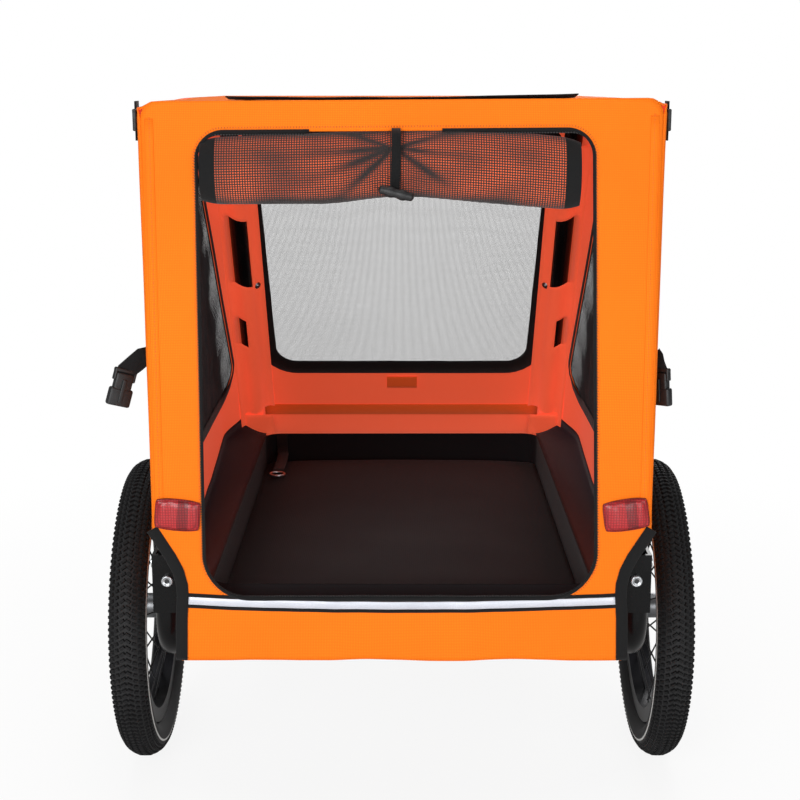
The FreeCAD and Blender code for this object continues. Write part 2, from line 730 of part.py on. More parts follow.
front_low = size["hoop_diameter"]
front_hem = -size["pin_diameter"]
front_high = lean_length + size["hoop_diameter"] / 4
front_hem_half = size["front_half"] - channel_half - size["bracket_plate"] - size["pin_head_thick"] * 2
front_pairs = [
    (front_hem_half, front_hem), (front_hem_half, front_low),
    (front_cloth_half, front_low), (front_cloth_half, front_high),
]
front_pairs += [(-across, along) for across, along in reversed(front_pairs)]
front_blank = plate(
    "front_blank", [on_lean(across, along, front_out) for across, along in front_pairs],
    size["corner_wall"], "cloth", lean_out,
)
window_half = front_cloth_half - size["front_window_side"]
window_low = front_low + size["front_window_low"]
window_high = front_high - size["front_window_high"]
window_void = plate(
    "front_window_void",
    lean_outline(window_half, window_low, window_high, front_out - size["overrun"]),
    size["window_corner"], "cloth + 2 * overrun", lean_out,
)
node(cut("front_panel_cut", front_blank, window_void), "front_panel")

edge_gap = size["seat_gap"]
net_half = window_half - edge_gap
net_low = window_low + edge_gap
net_high = window_high - edge_gap
net_corners = [
    V(x, y + shift, z)
    for x, y, z in lean_outline(net_half, net_low, net_high, front_out)
]
front_net = doc.addObject("Part::Feature", "front_mesh")
front_face = net(
    rounded(net_corners + net_corners[:1], size["window_corner"]), FRONT_NET_COUNTS,
    net_corners[0], V(1, 0, 0), lean, 2 * net_half, net_high - net_low, size["net_strand"] * 2,
)
front_net.Shape = front_face.extrude(lean_out * size["net_thick"])
node(front_net, "front_mesh")


# Side walls and their mesh windows
side_rear = size["hoop_half"] + size["hoop_diameter"] / 2 + size["soft_gap"]
side_low = rail_top + size["bracket_plate"]
roof_under = size["hoop_top"] + size["hoop_diameter"] / 2 + size["seat_gap"]
notch_reach = size["hoop_reach"] + size["bracket_depth"]
notch_top = bracket_bottom + size["bracket_height"] + size["overrun"]


def side_points(inset):
    """The side wall's outline, drawn in by inset."""
    top = roof_under - size["seat_gap"] - inset
    nose_low = on_lean(0, front_low * 2, front_out)
    nose_high = on_lean(0, lean_length, front_out)
    rise = (top - nose_low[2]) / (nose_high[2] - nose_low[2])
    nose_top = nose_low[1] + (nose_high[1] - nose_low[1]) * rise
    tail = cloth_back + size["cloth"] + size["seat_gap"] + inset
    step = notch_reach + inset
    return [
        (step, side_low + inset), (nose_low[1] - inset, side_low + inset),
        (nose_low[1] - inset, nose_low[2]), (nose_top - inset * NOSE_INSET_SHARE, top), (tail, top),
        (tail, notch_top + inset), (step, notch_top + inset),
    ]


def side_wall(side, sign):
    outline = [(0, y, z) for y, z in side_points(0)]
    blank = plate(f"side_blank_{side}", outline, size["overrun"] / 2, "cloth", V(sign, 0, 0))
    margin = size["window_margin"]
    inner = side_points(margin)
    low = (size["tub_height"] + size["sill_height"]) / 2 + margin * WINDOW_SILL_SHARE
    window = [(inner[4][0], low), (inner[2][0], low), inner[3], inner[4]]
    hole_points = [(-sign * size["overrun"], y, z) for y, z in window]
    hole = plate(
        f"side_window_{side}", hole_points, size["window_corner"], "cloth + 2 * overrun", V(sign, 0, 0),
    )
    wall = cut(f"side_wall_{side}", blank, hole)
    wall.Placement.Base = V(sign * side_rear, 0, 0)
    node(wall, f"side_wall_{side}")

    shrink = size["seat_gap"]
    middle_y = sum(y for y, z in window) / len(window)
    middle_z = sum(z for y, z in window) / len(window)
    span_y = max(y for y, z in window) - min(y for y, z in window)
    span_z = max(z for y, z in window) - min(z for y, z in window)
    keep = V(0, 1 - 2 * shrink / span_y, 1 - 2 * shrink / span_z)
    corners = [
        V(0, middle_y + (y - middle_y) * keep.y + shift, middle_z + (z - middle_z) * keep.z)
        for y, z in window
    ]
    least = V(0, min(corner.y for corner in corners), min(corner.z for corner in corners))
    face = net(
        rounded(corners + corners[:1], size["window_corner"]), SIDE_NET_COUNTS, least,
        V(0, 1, 0), V(0, 0, 1), span_y - 2 * shrink, span_z - 2 * shrink, size["net_strand"] * 2,
    )
    mesh = doc.addObject("Part::Feature", f"side_mesh_{side}")
    mesh.Shape = face.extrude(V(sign * size["net_thick"], 0, 0))
    mesh.Placement.Base = V(sign * side_rear, 0, 0)
    node(mesh, f"side_mesh_{side}")


both(side_wall)


def front_edge(side, sign):
    """The side wall's front edge, turned in to meet the front panel."""
    near = front_cloth_half + size["seat_gap"]
    far = side_rear - size["seat_gap"]
    pairs = [(near, front_low * 2), (far, front_low * 2), (far, front_high), (near, front_high)]
    points = [on_lean(sign * across, along, front_out) for across, along in pairs]
    return plate(f"front_edge_{side}", points, size["cloth"], "cloth", lean_out)


node(group("front_edges", *both(front_edge)), "front_edges")


# Roof and its black flap
roof_front = on_lean(0, lean_length, front_out)[1]
roof_half = side_rear + size["cloth"]
roof_height = max(roof_under, size["panel_top"] + size["seat_gap"] * 2)
roof_points = [
    (-roof_half, cloth_back, roof_height), (roof_half, cloth_back, roof_height),
    (roof_half, roof_front, roof_height), (-roof_half, roof_front, roof_height),
]
node(plate("roof_plate", roof_points, size["panel_corner"], "cloth", V(0, 0, 1)), "roof_panel")
flap_rear = size["hoop_reach"]
node(
    box(
        "roof_flap_box", "2 * roof_strip_half", "roof_strip_depth", "roof_strip_thick",
        -size["roof_strip_half"], flap_rear, roof_height + size["cloth"],
    ),
    "roof_flap",
)


# Floor tub and mat
tub_low = rail_top + size["seat_gap"]
tub_length = "nose_gap_reach + rail_diameter / 2 + seat_gap - tub_front_gap - tub_rear_reach"
tub_outer = box(
    "tub_outer", "2 * tub_half", tub_length,
    "tub_height - rail_height - rail_diameter / 2 - seat_gap",
    -size["tub_half"], size["tub_rear_reach"], tub_low,
)
tub_room = box(
    "tub_room", "2 * tub_half - 2 * cloth", tub_length + " - 2 * cloth", "tub_height",
    -size["tub_half"] + size["cloth"], size["tub_rear_reach"] + size["cloth"], tub_low + size["cloth"],
)
node(cut("tub_cut", tub_outer, tub_room), "floor_tub")

mat_low = tub_low + size["cloth"]
mat_half = size["tub_half"] - size["cloth"] * 2
mat_rear = size["tub_rear_reach"] + size["cloth"] * 2
mat_front = tub_front - size["cloth"] * 2
MAT_SECTION_SHARES = (0, 0.06, 0.5, 0.94, 1)
MAT_CROWN_SHARES = (0, 0.8, 1, 0.8, 0)
mat_sections = []
for share, crown in zip(MAT_SECTION_SHARES, MAT_CROWN_SHARES):
    reach = mat_rear + share * (mat_front - mat_rear) + shift
    edge_top = mat_low + size["mat_thick"] - size["mat_crown"]
    peak = edge_top + crown * size["mat_crown"] + size["seat_gap"]
    left = V(-mat_half, reach, edge_top)
    right = V(mat_half, reach, edge_top)
    crest = Part.Arc(left, V(0, reach, peak), right).toShape()
    sides = [
        Part.makeLine(right, V(mat_half, reach, mat_low)),
        Part.makeLine(V(mat_half, reach, mat_low), V(-mat_half, reach, mat_low)),
        Part.makeLine(V(-mat_half, reach, mat_low), left),
    ]
    mat_sections.append(Part.Wire([crest] + sides))
mat = doc.addObject("Part::Feature", "floor_mat")
mat.Shape = Part.makeLoft(mat_sections, True, True)
node(mat, "floor_mat")


# Leash strap and its ring, tied to the front left corner of the tub
leash_at = -size["leash_in"]
leash_front = tub_front - size["cloth"] - size["seat_gap"]
leash_low = mat_low + size["mat_thick"] - size["mat_crown"] / 2
leash_lie = box(
    "leash_lie", "leash_width", "leash_length", "strap_thick",
    leash_at - size["leash_width"] / 2, leash_front - size["leash_length"], leash_low,
)
leash_rise = box(
    "leash_rise", "leash_width", "strap_thick", "leash_rise",
    leash_at - size["leash_width"] / 2, leash_front - size["strap_thick"], leash_low,
)
node(fuse("leash_fuse", leash_lie, leash_rise), "leash_strap")
ring_at = leash_front - size["leash_length"] - size["hook_ring"] - size["hook_wire"] / 2 - size["seat_gap"]
hook = doc.addObject("Part::Torus", "leash_ring")
bind(hook, "Radius1", "hook_ring")
bind(hook, "Radius2", "hook_wire / 2")
place(hook, leash_at, ring_at, leash_low + size["hook_wire"] / 2)
node(hook, "leash_ring")


# Side straps and buckles, and the strap locks at the top corners
strap_face = side_rear + size["cloth"] + size["seat_gap"]


def side_strap(side, sign):
    low = strap_face if sign > 0 else -strap_face - size["side_strap_length"]
    length = "right_strap_length" if sign > 0 else "side_strap_length"
    return box(
        f"side_strap_{side}", length, "strap_width", "strap_thick",
        low, size["side_strap_reach"], size["side_strap_height"],
    )


node(group("side_straps", *both(side_strap)), "side_straps")


def side_buckle(side, sign):
    length = size["right_strap_length"] if sign > 0 else size["side_strap_length"]
    out = strap_face + length - size["buckle_thick"]
    low = out if sign > 0 else -out - size["buckle_thick"]
    middle = size["side_strap_reach"] + size["strap_width"] / 2
    return box(
        f"side_buckle_{side}", "buckle_thick", "buckle_width", "buckle_length",
        low, middle - size["buckle_width"] / 2,
        size["side_strap_height"] - size["buckle_length"] - size["seat_gap"],
    )


node(group("side_buckles", *both(side_buckle)), "side_buckles")


def strap_lock(side, sign):
    low = strap_face if sign > 0 else -strap_face - size["lock_thick"]
    return box(
        f"strap_lock_{side}", "lock_thick", "lock_width", "lock_length",
        low, size["lock_reach"], size["lock_height"] - size["lock_length"] / 2,
    )


node(group("strap_locks", *both(strap_lock)), "strap_locks")


# Tow arm: it drops on its clevis until the hitch stands on the ground
tow_at = -size["tow_in"]
tow_radius = size["tow_diameter"] / 2
cheek_gap = tow_radius + size["side_gap"]
cheek_back = front_cross_reach + rail_radius
cheek_low = size["rail_height"] - size["tow_plate_height"] / 2
cheek_reach = "tow_pivot_lead + tow_diameter / 2 - rail_diameter - seat_gap"


def tow_cheek(side, sign):
    low = tow_at + (cheek_gap if sign > 0 else -cheek_gap - size["tow_plate"])
    corner = (low, cheek_back, cheek_low)
    blank = box(f"tow_cheek_blank_{side}", "tow_plate", cheek_reach, "tow_plate_height", *corner)
    hole = rod(
        f"tow_cheek_hole_{side}", "X", "pin_diameter / 2 + running_gap", "tow_plate + 2 * overrun",
        low - size["overrun"], tow_pivot_reach, size["rail_height"],
    )
    return cut(f"tow_cheek_{side}", blank, hole)


node(group("tow_cheeks", *both(tow_cheek)), "tow_cheeks")
pin_left = tow_at - cheek_gap - size["tow_plate"]
tow_pin_length = "tow_diameter + 2 * side_gap + 2 * tow_plate"
tow_pivot = (tow_pivot_reach, size["rail_height"])
tow_shank = rod("tow_shank", "X", "pin_diameter / 2", tow_pin_length, pin_left, *tow_pivot)
pin_right = tow_at + cheek_gap + size["tow_plate"]
tow_heads = [
    rod(f"tow_head{end}", "X", "pin_head / 2", "pin_head_thick", start, *tow_pivot)
    for end, start in enumerate((pin_left - size["pin_head_thick"], pin_right))
]
node(fuse("tow_pin_fuse", tow_shank, *tow_heads), "tow_pin")

knuckle_back = knuckle_reach - size["knuckle_diameter"] / 2
drop = math.atan2(size["rail_height"] - size["tow_level"], knee_reach - tow_pivot_reach)
tow_points = [
    (
        tow_at, tow_pivot_reach - tow_radius * math.cos(drop),
        size["rail_height"] + tow_radius * math.sin(drop),
    ),
    (tow_at, knee_reach, size["tow_level"]),
    (tow_at, knuckle_back + size["knuckle_diameter"] / 4, size["tow_level"]),
]
arm = tube("tow_arm_tube", tow_points, "tow_diameter", "tow_wall", size["tow_bend"])
knuckle = rod("knuckle", "Z", "knuckle_diameter / 2", "knuckle_height", tow_at, knuckle_reach, 0)
arm_hole = rod(
    "tow_arm_hole", "X", "pin_diameter / 2 + running_gap", "tow_diameter + 2 * overrun",
    tow_at - tow_radius - size["overrun"], tow_pivot_reach, size["rail_height"],
)
drilled = cut("tow_arm_drilled", arm, arm_hole)
node(cut("tow_arm_cut", drilled, knuckle), "tow_arm")
bolt_depth = "knuckle_height / 2"
knuckle_bore = rod(
    "knuckle_bore", "Z", "hitch_bolt_diameter / 2 + running_gap", bolt_depth + " + overrun",
    tow_at, knuckle_reach, size["knuckle_height"] / 2,
)
node(cut("knuckle_cut", knuckle, knuckle_bore), "hitch_knuckle")

tongue_low = size["knuckle_height"] + size["seat_gap"]
tongue_points = [
    (tow_at - size["hitch_width"] / 2, knuckle_reach - size["hitch_width"] / 2, tongue_low),
    (tow_at + size["hitch_width"] / 2, knuckle_reach - size["hitch_width"] / 2, tongue_low),
    (tow_at + size["hitch_width"] / 2, nose_reach, tongue_low),
    (tow_at - size["hitch_width"] / 2, nose_reach, tongue_low),
]
tongue_corner = size["hitch_width"] * HITCH_CORNER_SHARE
tongue = plate("tongue_blank", tongue_points, tongue_corner, "hitch_thick", V(0, 0, 1))
hitch_hole_reach = nose_reach - size["hitch_width"] / 2
tongue_hole = rod(
    "tongue_hole", "Z", "hitch_hole / 2", "hitch_thick + 2 * overrun",
    tow_at, hitch_hole_reach, tongue_low - size["overrun"],
)
tongue_pivot = rod(
    "tongue_pivot", "Z", "hitch_bolt_diameter / 2 + running_gap", "hitch_thick + 2 * overrun",
    tow_at, knuckle_reach, tongue_low - size["overrun"],
)
node(cut("hitch_plate_cut", cut("tongue_bored", tongue, tongue_hole), tongue_pivot), "hitch_plate")
hitch_shank = rod(
    "hitch_shank", "Z", "hitch_bolt_diameter / 2", "knuckle_height / 2 + 2 * seat_gap + hitch_thick",
    tow_at, knuckle_reach, size["knuckle_height"] / 2,
)
hitch_head = rod(
    "hitch_head", "Z", "hitch_bolt_head / 2", "hitch_bolt_head_thick",
    tow_at, knuckle_reach, tongue_low + size["hitch_thick"] + size["seat_gap"],
)
node(fuse("hitch_bolt_fuse", hitch_shank, hitch_head), "hitch_bolt")

doc.recompute()
for item in doc.Objects:
    if "Invalid" in item.State or "Error" in item.State:
        raise RuntimeError(f"{item.Label} failed: {item.State}")
for item in nodes:
    if item.Shape.isNull() or not item.Shape.isValid():
        raise RuntimeError(f"{item.Label} has no valid shape")
os.makedirs("parts", exist_ok=True)
for item in nodes:
    item.Shape.exportStep(f"parts/{item.Label}.step")
    print(item.Label, round(item.Shape.Volume / 1000, 2), "cm3")
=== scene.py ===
# %% [markdown]
# A dog trailer for a bicycle, seen from behind with its mesh door rolled up.
# The rigid frame comes packed from CAD. This script adds the sewn cover, the nets, the tyres
# and the small plastic pieces, and gives every surface its finish.

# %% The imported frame
import json
import math

import bmesh
import bpy
import numpy as np
from mathutils import Matrix, Vector, noise


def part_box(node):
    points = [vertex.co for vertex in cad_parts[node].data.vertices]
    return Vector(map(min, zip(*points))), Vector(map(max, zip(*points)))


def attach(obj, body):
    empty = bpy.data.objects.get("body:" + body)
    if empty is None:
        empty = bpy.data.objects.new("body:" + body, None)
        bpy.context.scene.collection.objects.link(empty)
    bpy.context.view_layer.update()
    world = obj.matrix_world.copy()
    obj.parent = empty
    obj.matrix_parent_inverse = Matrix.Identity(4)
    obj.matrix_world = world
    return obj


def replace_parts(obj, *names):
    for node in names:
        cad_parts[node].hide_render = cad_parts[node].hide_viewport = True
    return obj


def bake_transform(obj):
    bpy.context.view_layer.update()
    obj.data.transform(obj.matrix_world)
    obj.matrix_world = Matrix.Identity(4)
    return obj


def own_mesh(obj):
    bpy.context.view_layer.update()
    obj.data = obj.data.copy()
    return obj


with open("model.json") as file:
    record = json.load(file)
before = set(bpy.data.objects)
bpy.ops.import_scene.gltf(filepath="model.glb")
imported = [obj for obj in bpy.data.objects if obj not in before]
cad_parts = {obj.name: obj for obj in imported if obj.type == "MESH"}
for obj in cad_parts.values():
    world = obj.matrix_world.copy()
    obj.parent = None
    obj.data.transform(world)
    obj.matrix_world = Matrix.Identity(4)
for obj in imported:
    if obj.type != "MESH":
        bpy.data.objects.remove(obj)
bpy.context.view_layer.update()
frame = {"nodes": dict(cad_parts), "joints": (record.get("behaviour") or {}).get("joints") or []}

JOINTS = {joint["name"]: joint for joint in frame["joints"]}
SIDES = (("left", -1), ("right", 1))
SQUARE = ((-1, -1), (1, -1), (1, 1), (-1, 1))
MM = 0.001
OUT = (0, -1, 0)
scene = bpy.context.scene

# %% [markdown]
# Short helpers for lengths, shares and turns, for a new object, and for fixing a finished piece
# to a body and hiding the imported nodes that it stands in for.

# %% Short helpers
def mm(*lengths):
    """Lengths in millimetres as metres."""
    return tuple(length * MM for length in lengths)


def turns(count):
    """Even steps of angle round a full turn."""
    return [2 * math.pi * step / count for step in range(count)]


def clamp(value):
    """A value held between 0 and 1."""
    return min(1.0, max(0.0, value))


def smooth(value):
    """A share from 0 to 1 that starts and ends gently."""
    share = clamp(value)
    return share * share * (3 - 2 * share)


def placed(name, data):
    """A new object in the scene."""
    made = bpy.data.objects.new(name, data)
    scene.collection.objects.link(made)
    return made


def rides(piece, body, slot, *nodes):
    """A piece that moves with one body."""
    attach(piece, body)
    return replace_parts(piece, *nodes) if nodes else piece


# %% [markdown]
# The camera stands where a fit to the two tyres puts it: a little under a metre up, about 1.6 m
# behind the rear panel, tipped down by 12 degrees. The tyres alone don't settle a camera, so the
# focal length and the axle's place ahead of the panel are assumed, and the rest follows from them.

# %% Camera
CAMERA_PLACE = Vector((-0.002, -2.2846, 0.9266))
CAMERA_PITCH = math.radians(12.43)
LENS, SENSOR = 67.5, 36
camera_data = bpy.data.cameras.new("camera")
camera_data.lens = LENS
camera_data.sensor_width = SENSOR
camera = placed("camera", camera_data)
camera.location = CAMERA_PLACE
camera.rotation_euler = (math.pi / 2 - CAMERA_PITCH, 0, 0)
scene.camera = camera
scene.view_settings.view_transform = "Standard"

# %% [markdown]
# Every finish is a node tree. One helper adds a node with its settings, its socket values and
# its links, and one turns a colour as a painter writes it into the linear light that a shader
# needs. In a colour mix, socket 0 is the share and 6 and 7 are the two colours.

# %% Node and colour helpers
def linear(colour):
    """An sRGB hex colour as linear red, green, blue and alpha."""
    shares = [int(colour[place:place + 2], 16) / 255 for place in (1, 3, 5)]
    return [s / 12.92 if s <= 0.04045 else ((s + 0.055) / 1.055) ** 2.4 for s in shares] + [1]


def add(tree, kind, values=(), links=(), **settings):
    """Adds one node; settings are its properties, values its sockets, links what feeds them."""
    item = tree.nodes.new(kind)
    for name, value in settings.items():
        setattr(item, name, value)
    for socket, value in dict(values).items():
        item.inputs[socket].default_value = value
    for socket, source in dict(links).items():
        tree.links.new(source, item.inputs[socket])
    return item


def new_finish(name, roughness, metallic=0.0, **sockets):
    """An empty material with its shader; gives the material, its tree and the shader."""
    made = bpy.data.materials.new(name)
    made.use_nodes = True
    tree = made.node_tree
    shader = tree.nodes["Principled BSDF"]
    shader.inputs["Roughness"].default_value = roughness
    shader.inputs["Metallic"].default_value = metallic
    for socket, value in sockets.items():
        shader.inputs[socket.replace("_", " ")].default_value = value
    return made, tree, shader


def closed_finish(made, colour, height, strength, distance, invert=False):
    """Feeds a material's shader with its colour and with a relief of the given height."""
    tree = made.node_tree
    shader = tree.nodes["Principled BSDF"]
    relief = add(
        tree, "ShaderNodeBump", {"Strength": strength, "Distance": distance}, {"Height": height},
        invert=invert,
    )
    tree.links.new(colour, shader.inputs["Base Color"])
    tree.links.new(relief.outputs[0], shader.inputs["Normal"])
    return made


def crossed_bands(tree, where, period, distortion, operation):
    """Bands both ways on the UV map, repeating once in a period, joined into one grid."""
    bands = [
        add(
            tree, "ShaderNodeTexWave", {"Scale": 2 * math.pi / (20 * period), "Distortion": distortion},
            {"Vector": where.outputs["UV"]}, bands_direction=direction,
        )
        for direction in ("X", "Y")
    ]
    links = {0: bands[0].outputs["Fac"], 1: bands[1].outputs["Fac"]}
    return add(tree, "ShaderNodeMath", links=links, operation=operation).outputs[0]


# %% [markdown]
# The cover is polyester cloth, woven from flat yarn and coated on the inside. The eye sees a
# fine crossed weave, a soft sheen and slow random changes of tone across the cloth. The threads
# of such cloth are usually about half a millimetre apart, which is too fine to show in the
# render, so they are drawn coarser here.

# %% Woven cloth
def woven(name, light, dark, thread=1.8 * MM, roughness=0.78, sheen=0.08, depth=0.35):
    """A crossed weave between two tones; thread is the distance between threads."""
    made, tree, _ = new_finish(name, roughness, Sheen_Weight=sheen, Specular_IOR_Level=0.2)
    where = add(tree, "ShaderNodeTexCoord")
    weave = crossed_bands(tree, where, thread, 0.4, "MULTIPLY")
    slow = add(
        tree, "ShaderNodeTexNoise", {"Scale": 5, "Detail": 3, "Roughness": 0.55},
        {"Vector": where.outputs["Object"]},
    )
    fine = add(
        tree, "ShaderNodeMath", {2: 0.25}, {0: weave, 1: slow.outputs["Fac"]}, operation="MULTIPLY_ADD",
    )
    tone = add(tree, "ShaderNodeMapRange", {1: 0.2, 2: 0.85}, {0: fine.outputs[0]})
    colour = add(
        tree, "ShaderNodeMix", {6: linear(dark), 7: linear(light)}, {0: tone.outputs[0]},
        data_type="RGBA",
    )
    return closed_finish(made, colour.outputs[2], weave, depth, 0.4 * MM)


ORANGE = woven("woven polyester, orange", "#FF8813", "#EE6B09", sheen=0.0)
INSIDE = woven("coated polyester, inside", "#FF6E4A", "#F85E3C", roughness=0.6)
BLACK_CLOTH = woven("woven polyester, black", "#18171A", "#0C0B0D", roughness=0.85, sheen=0.05)
MAT_CLOTH = woven("mat cloth, black", "#191416", "#0D0A0C", thread=2.4 * MM, roughness=0.9, sheen=0.05)
BORDER_CLOTH = woven("mat border, purple black", "#241D2B", "#140F19", roughness=0.85, sheen=0.1)
RUST_TAPE = woven("hook and loop tape, rust", "#EC6428", "#D05421", roughness=0.85)
WEBBING = woven("polyester webbing, black", "#161618", "#09090A", thread=1.5 * MM, depth=0.7, sheen=0.1)
BINDING = woven("binding tape, black", "#181819", "#0B0B0C", thread=1.2 * MM, depth=0.5, sheen=0.1)
# Painted light: an emission stands in for the daylight that comes through the thin cloth, so the inner face
# and its tapes glow a little though they are no lamp.
for cloth, painted_glow, strength in ((INSIDE, "#FF6440", 0.36), (RUST_TAPE, "#E0521F", 0.22)):
    glowing = cloth.node_tree.nodes["Principled BSDF"]
    glowing.inputs["Emission Color"].default_value = linear(painted_glow)
    glowing.inputs["Emission Strength"].default_value = strength

# %% [markdown]
# The rigid finishes: powder coat on the tubes, zinc on the bolts, black anodising on the rims,
# satin metal on the hubs, vulcanised rubber, and moulded nylon. Each has a faint grain, because
# no real surface is perfectly even.

# %% Rigid finishes
def grained(name, light, dark, grain, roughness, metallic=0.0, depth=0.1, **sockets):
    """A finish with a fine grain; grain is its size in metres."""
    made, tree, _ = new_finish(name, roughness, metallic, **sockets)
    where = add(tree, "ShaderNodeTexCoord").outputs["Object"]
    fine = add(
        tree, "ShaderNodeTexNoise", {"Scale": 1 / grain, "Detail": 4, "Roughness": 0.6}, {"Vector": where},
    ).outputs["Fac"]
    worn = add(tree, "ShaderNodeTexNoise", {"Scale": 22, "Detail": 2}, {"Vector": where}).outputs["Fac"]
    both = add(tree, "ShaderNodeMath", links={0: fine, 1: worn}, operation="MULTIPLY")
    tone = add(tree, "ShaderNodeMapRange", {1: 0.12, 2: 0.42}, {0: both.outputs[0]})
    colour = add(
        tree, "ShaderNodeMix", {6: linear(dark), 7: linear(light)}, {0: tone.outputs[0]},
        data_type="RGBA",
    )
    return closed_finish(made, colour.outputs[2], fine, depth, 0.3 * MM)


POWDER = grained(
    "powder coated steel, black", "#101011", "#080809", 0.8 * MM, 0.25, depth=0.08,
    Specular_IOR_Level=0.13,
)
ZINC = grained("zinc plated steel", "#C6C8CB", "#A5A8AB", 1.5 * MM, 0.32, 1.0)
ANODISED = grained("anodised aluminium, black", "#2A2A2D", "#1A1A1C", 1 * MM, 0.38, 1.0)
HUB_METAL = grained("satin aluminium", "#8F9194", "#76787B", 1.2 * MM, 0.36, 1.0)
NYLON = grained("moulded nylon, black", "#1C1C1E", "#101011", 0.6 * MM, 0.48, depth=0.25)
DARK_STEEL = grained("blackened steel wire", "#242427", "#161618", 1 * MM, 0.4, 0.6)
TREAD = grained(
    "tyre rubber, tread", "#161618", "#0B0B0C", 1.2 * MM, 0.74, depth=0.3, Specular_IOR_Level=0.3,
)
TAPE_SILVER = grained("retroreflective tape", "#D6D9E2", "#C3C6D0", 1.4 * MM, 0.35, 0.2)
NET = grained("net yarn, black", "#202023", "#131315", 1 * MM, 0.85)
THREAD = grained("sewing thread, orange", "#DC6A12", "#BE560B", 0.8 * MM, 0.8)


# %% [markdown]
# A tyre carries a thin white line moulded into each sidewall. The line is a band of radius
# round the axle, so the finish works out the distance from the axle of its own wheel.

# %% Tyre sidewalls
def sidewall(side, centre, inner, outer):
    """Dusty rubber with a white line between two radii round a wheel's centre."""
    made, tree, _ = new_finish(f"tyre rubber, sidewall {side}", 0.74)
    where = add(tree, "ShaderNodeTexCoord").outputs["Object"]
    away = add(tree, "ShaderNodeVectorMath", {1: centre}, {0: where}, operation="SUBTRACT")
    flat = add(tree, "ShaderNodeVectorMath", {1: (0, 1, 1)}, {0: away.outputs[0]}, operation="MULTIPLY")
    radius = add(tree, "ShaderNodeVectorMath", links={0: flat.outputs[0]}, operation="LENGTH")
    line = add(
        tree, "ShaderNodeMath", {1: (inner + outer) / 2, 2: (outer - inner) / 2},
        {0: radius.outputs["Value"]}, operation="COMPARE",
    )
    dust = add(tree, "ShaderNodeTexNoise", {"Scale": 90, "Detail": 4}, {"Vector": where}).outputs["Fac"]
    rubber = add(
        tree, "ShaderNodeMix", {6: linear("#0E0E0F"), 7: linear("#1E1E20")}, {0: dust}, data_type="RGBA",
    )
    colour = add(
        tree, "ShaderNodeMix", {7: linear("#D9D9D6")}, {0: line.outputs[0], 6: rubber.outputs[2]},
        data_type="RGBA",
    )
    return closed_finish(made, colour.outputs[2], dust, 0.2, 0.3 * MM)


# %% [markdown]
# The reflectors are clear red acrylic over a honeycomb of moulded prisms. Cell edges show
# darker, and the smooth outer face gives a sharp gloss.

# %% Reflector acrylic
def honeycomb(name, light, dark, cell=3 * MM):
    """Glossy acrylic over prisms with dark edges."""
    made, tree, _ = new_finish(name, 0.3, Coat_Weight=0.15, Coat_Roughness=0.1, Specular_IOR_Level=0.35)
    where = add(tree, "ShaderNodeTexCoord").outputs["Object"]
    cells = add(
        tree, "ShaderNodeTexVoronoi", {"Scale": 1 / cell, "Randomness": 0.12}, {"Vector": where},
        feature="DISTANCE_TO_EDGE",
    )
    edge = add(tree, "ShaderNodeMapRange", {1: 0.02, 2: 0.22}, {0: cells.outputs["Distance"]}).outputs[0]
    colour = add(
        tree, "ShaderNodeMix", {6: linear(dark), 7: linear(light)}, {0: edge}, data_type="RGBA",
    )
    return closed_finish(made, colour.outputs[2], edge, 0.2, 0.5 * MM)


RED_LENS = honeycomb("reflector acrylic, red", "#B4282C", "#7C151A")
RED_DARK_AND_FACET_SHADE = honeycomb("reflector acrylic, dark red", "#8A1B20", "#560D12")


# %% [markdown]
# The rolled door is black netting over the orange lining of its own hem, so the roll looks like
# a black grid with orange-red behind it, and darker where a fold stacks several layers. Here all
# of it is one finish: the grid on the roll's own UV map, and the darkening from an attribute that
# holds the stacking together with painted shade in the fold creases and along the roll's top and
# bottom.

# %% Rolled netting
def rolled_net(name, gap=2.7 * MM, yarn_share=0.42):
    """Black net over an orange lining, darker where the attribute of stacked layers and painted shade is
    high.
    """
    made, tree, _ = new_finish(name, 0.8, Sheen_Weight=0.2)
    where = add(tree, "ShaderNodeTexCoord")
    open_gap = crossed_bands(tree, where, gap, 0.25, "MINIMUM")
    mask = add(
        tree, "ShaderNodeMapRange", {1: yarn_share - 0.2, 2: yarn_share + 0.2}, {0: open_gap},
    ).outputs[0]
    behind = add(tree, "ShaderNodeTexNoise", {"Scale": 14, "Detail": 2}, {"Vector": where.outputs["Object"]})
    lining = add(
        tree, "ShaderNodeMix", {6: linear("#D24A20"), 7: linear("#FF6E34")}, {0: behind.outputs["Fac"]},
        data_type="RGBA",
    )
    # The attribute holds stacked net and painted shade together; where it is high the lining turns dark.
    layers = add(tree, "ShaderNodeAttribute", attribute_name="layers")
    stacked_and_shaded = add(
        tree, "ShaderNodeMix", {7: linear("#1D1110")}, {0: layers.outputs["Fac"], 6: lining.outputs[2]},
        data_type="RGBA",
    )
    colour = add(
        tree, "ShaderNodeMix", {6: linear("#1F1615")}, {0: mask, 7: stacked_and_shaded.outputs[2]}, data_type="RGBA",
    )
    return closed_finish(made, colour.outputs[2], mask, 0.6, 0.6 * MM, invert=True)


ROLL_NET = rolled_net("polyester net over orange lining")

# %% [markdown]
# Studio: a pale floor that keeps the shadow near the object and fades to white further out,
# and four soft lamps. The fade follows the distance from the object, not the camera.

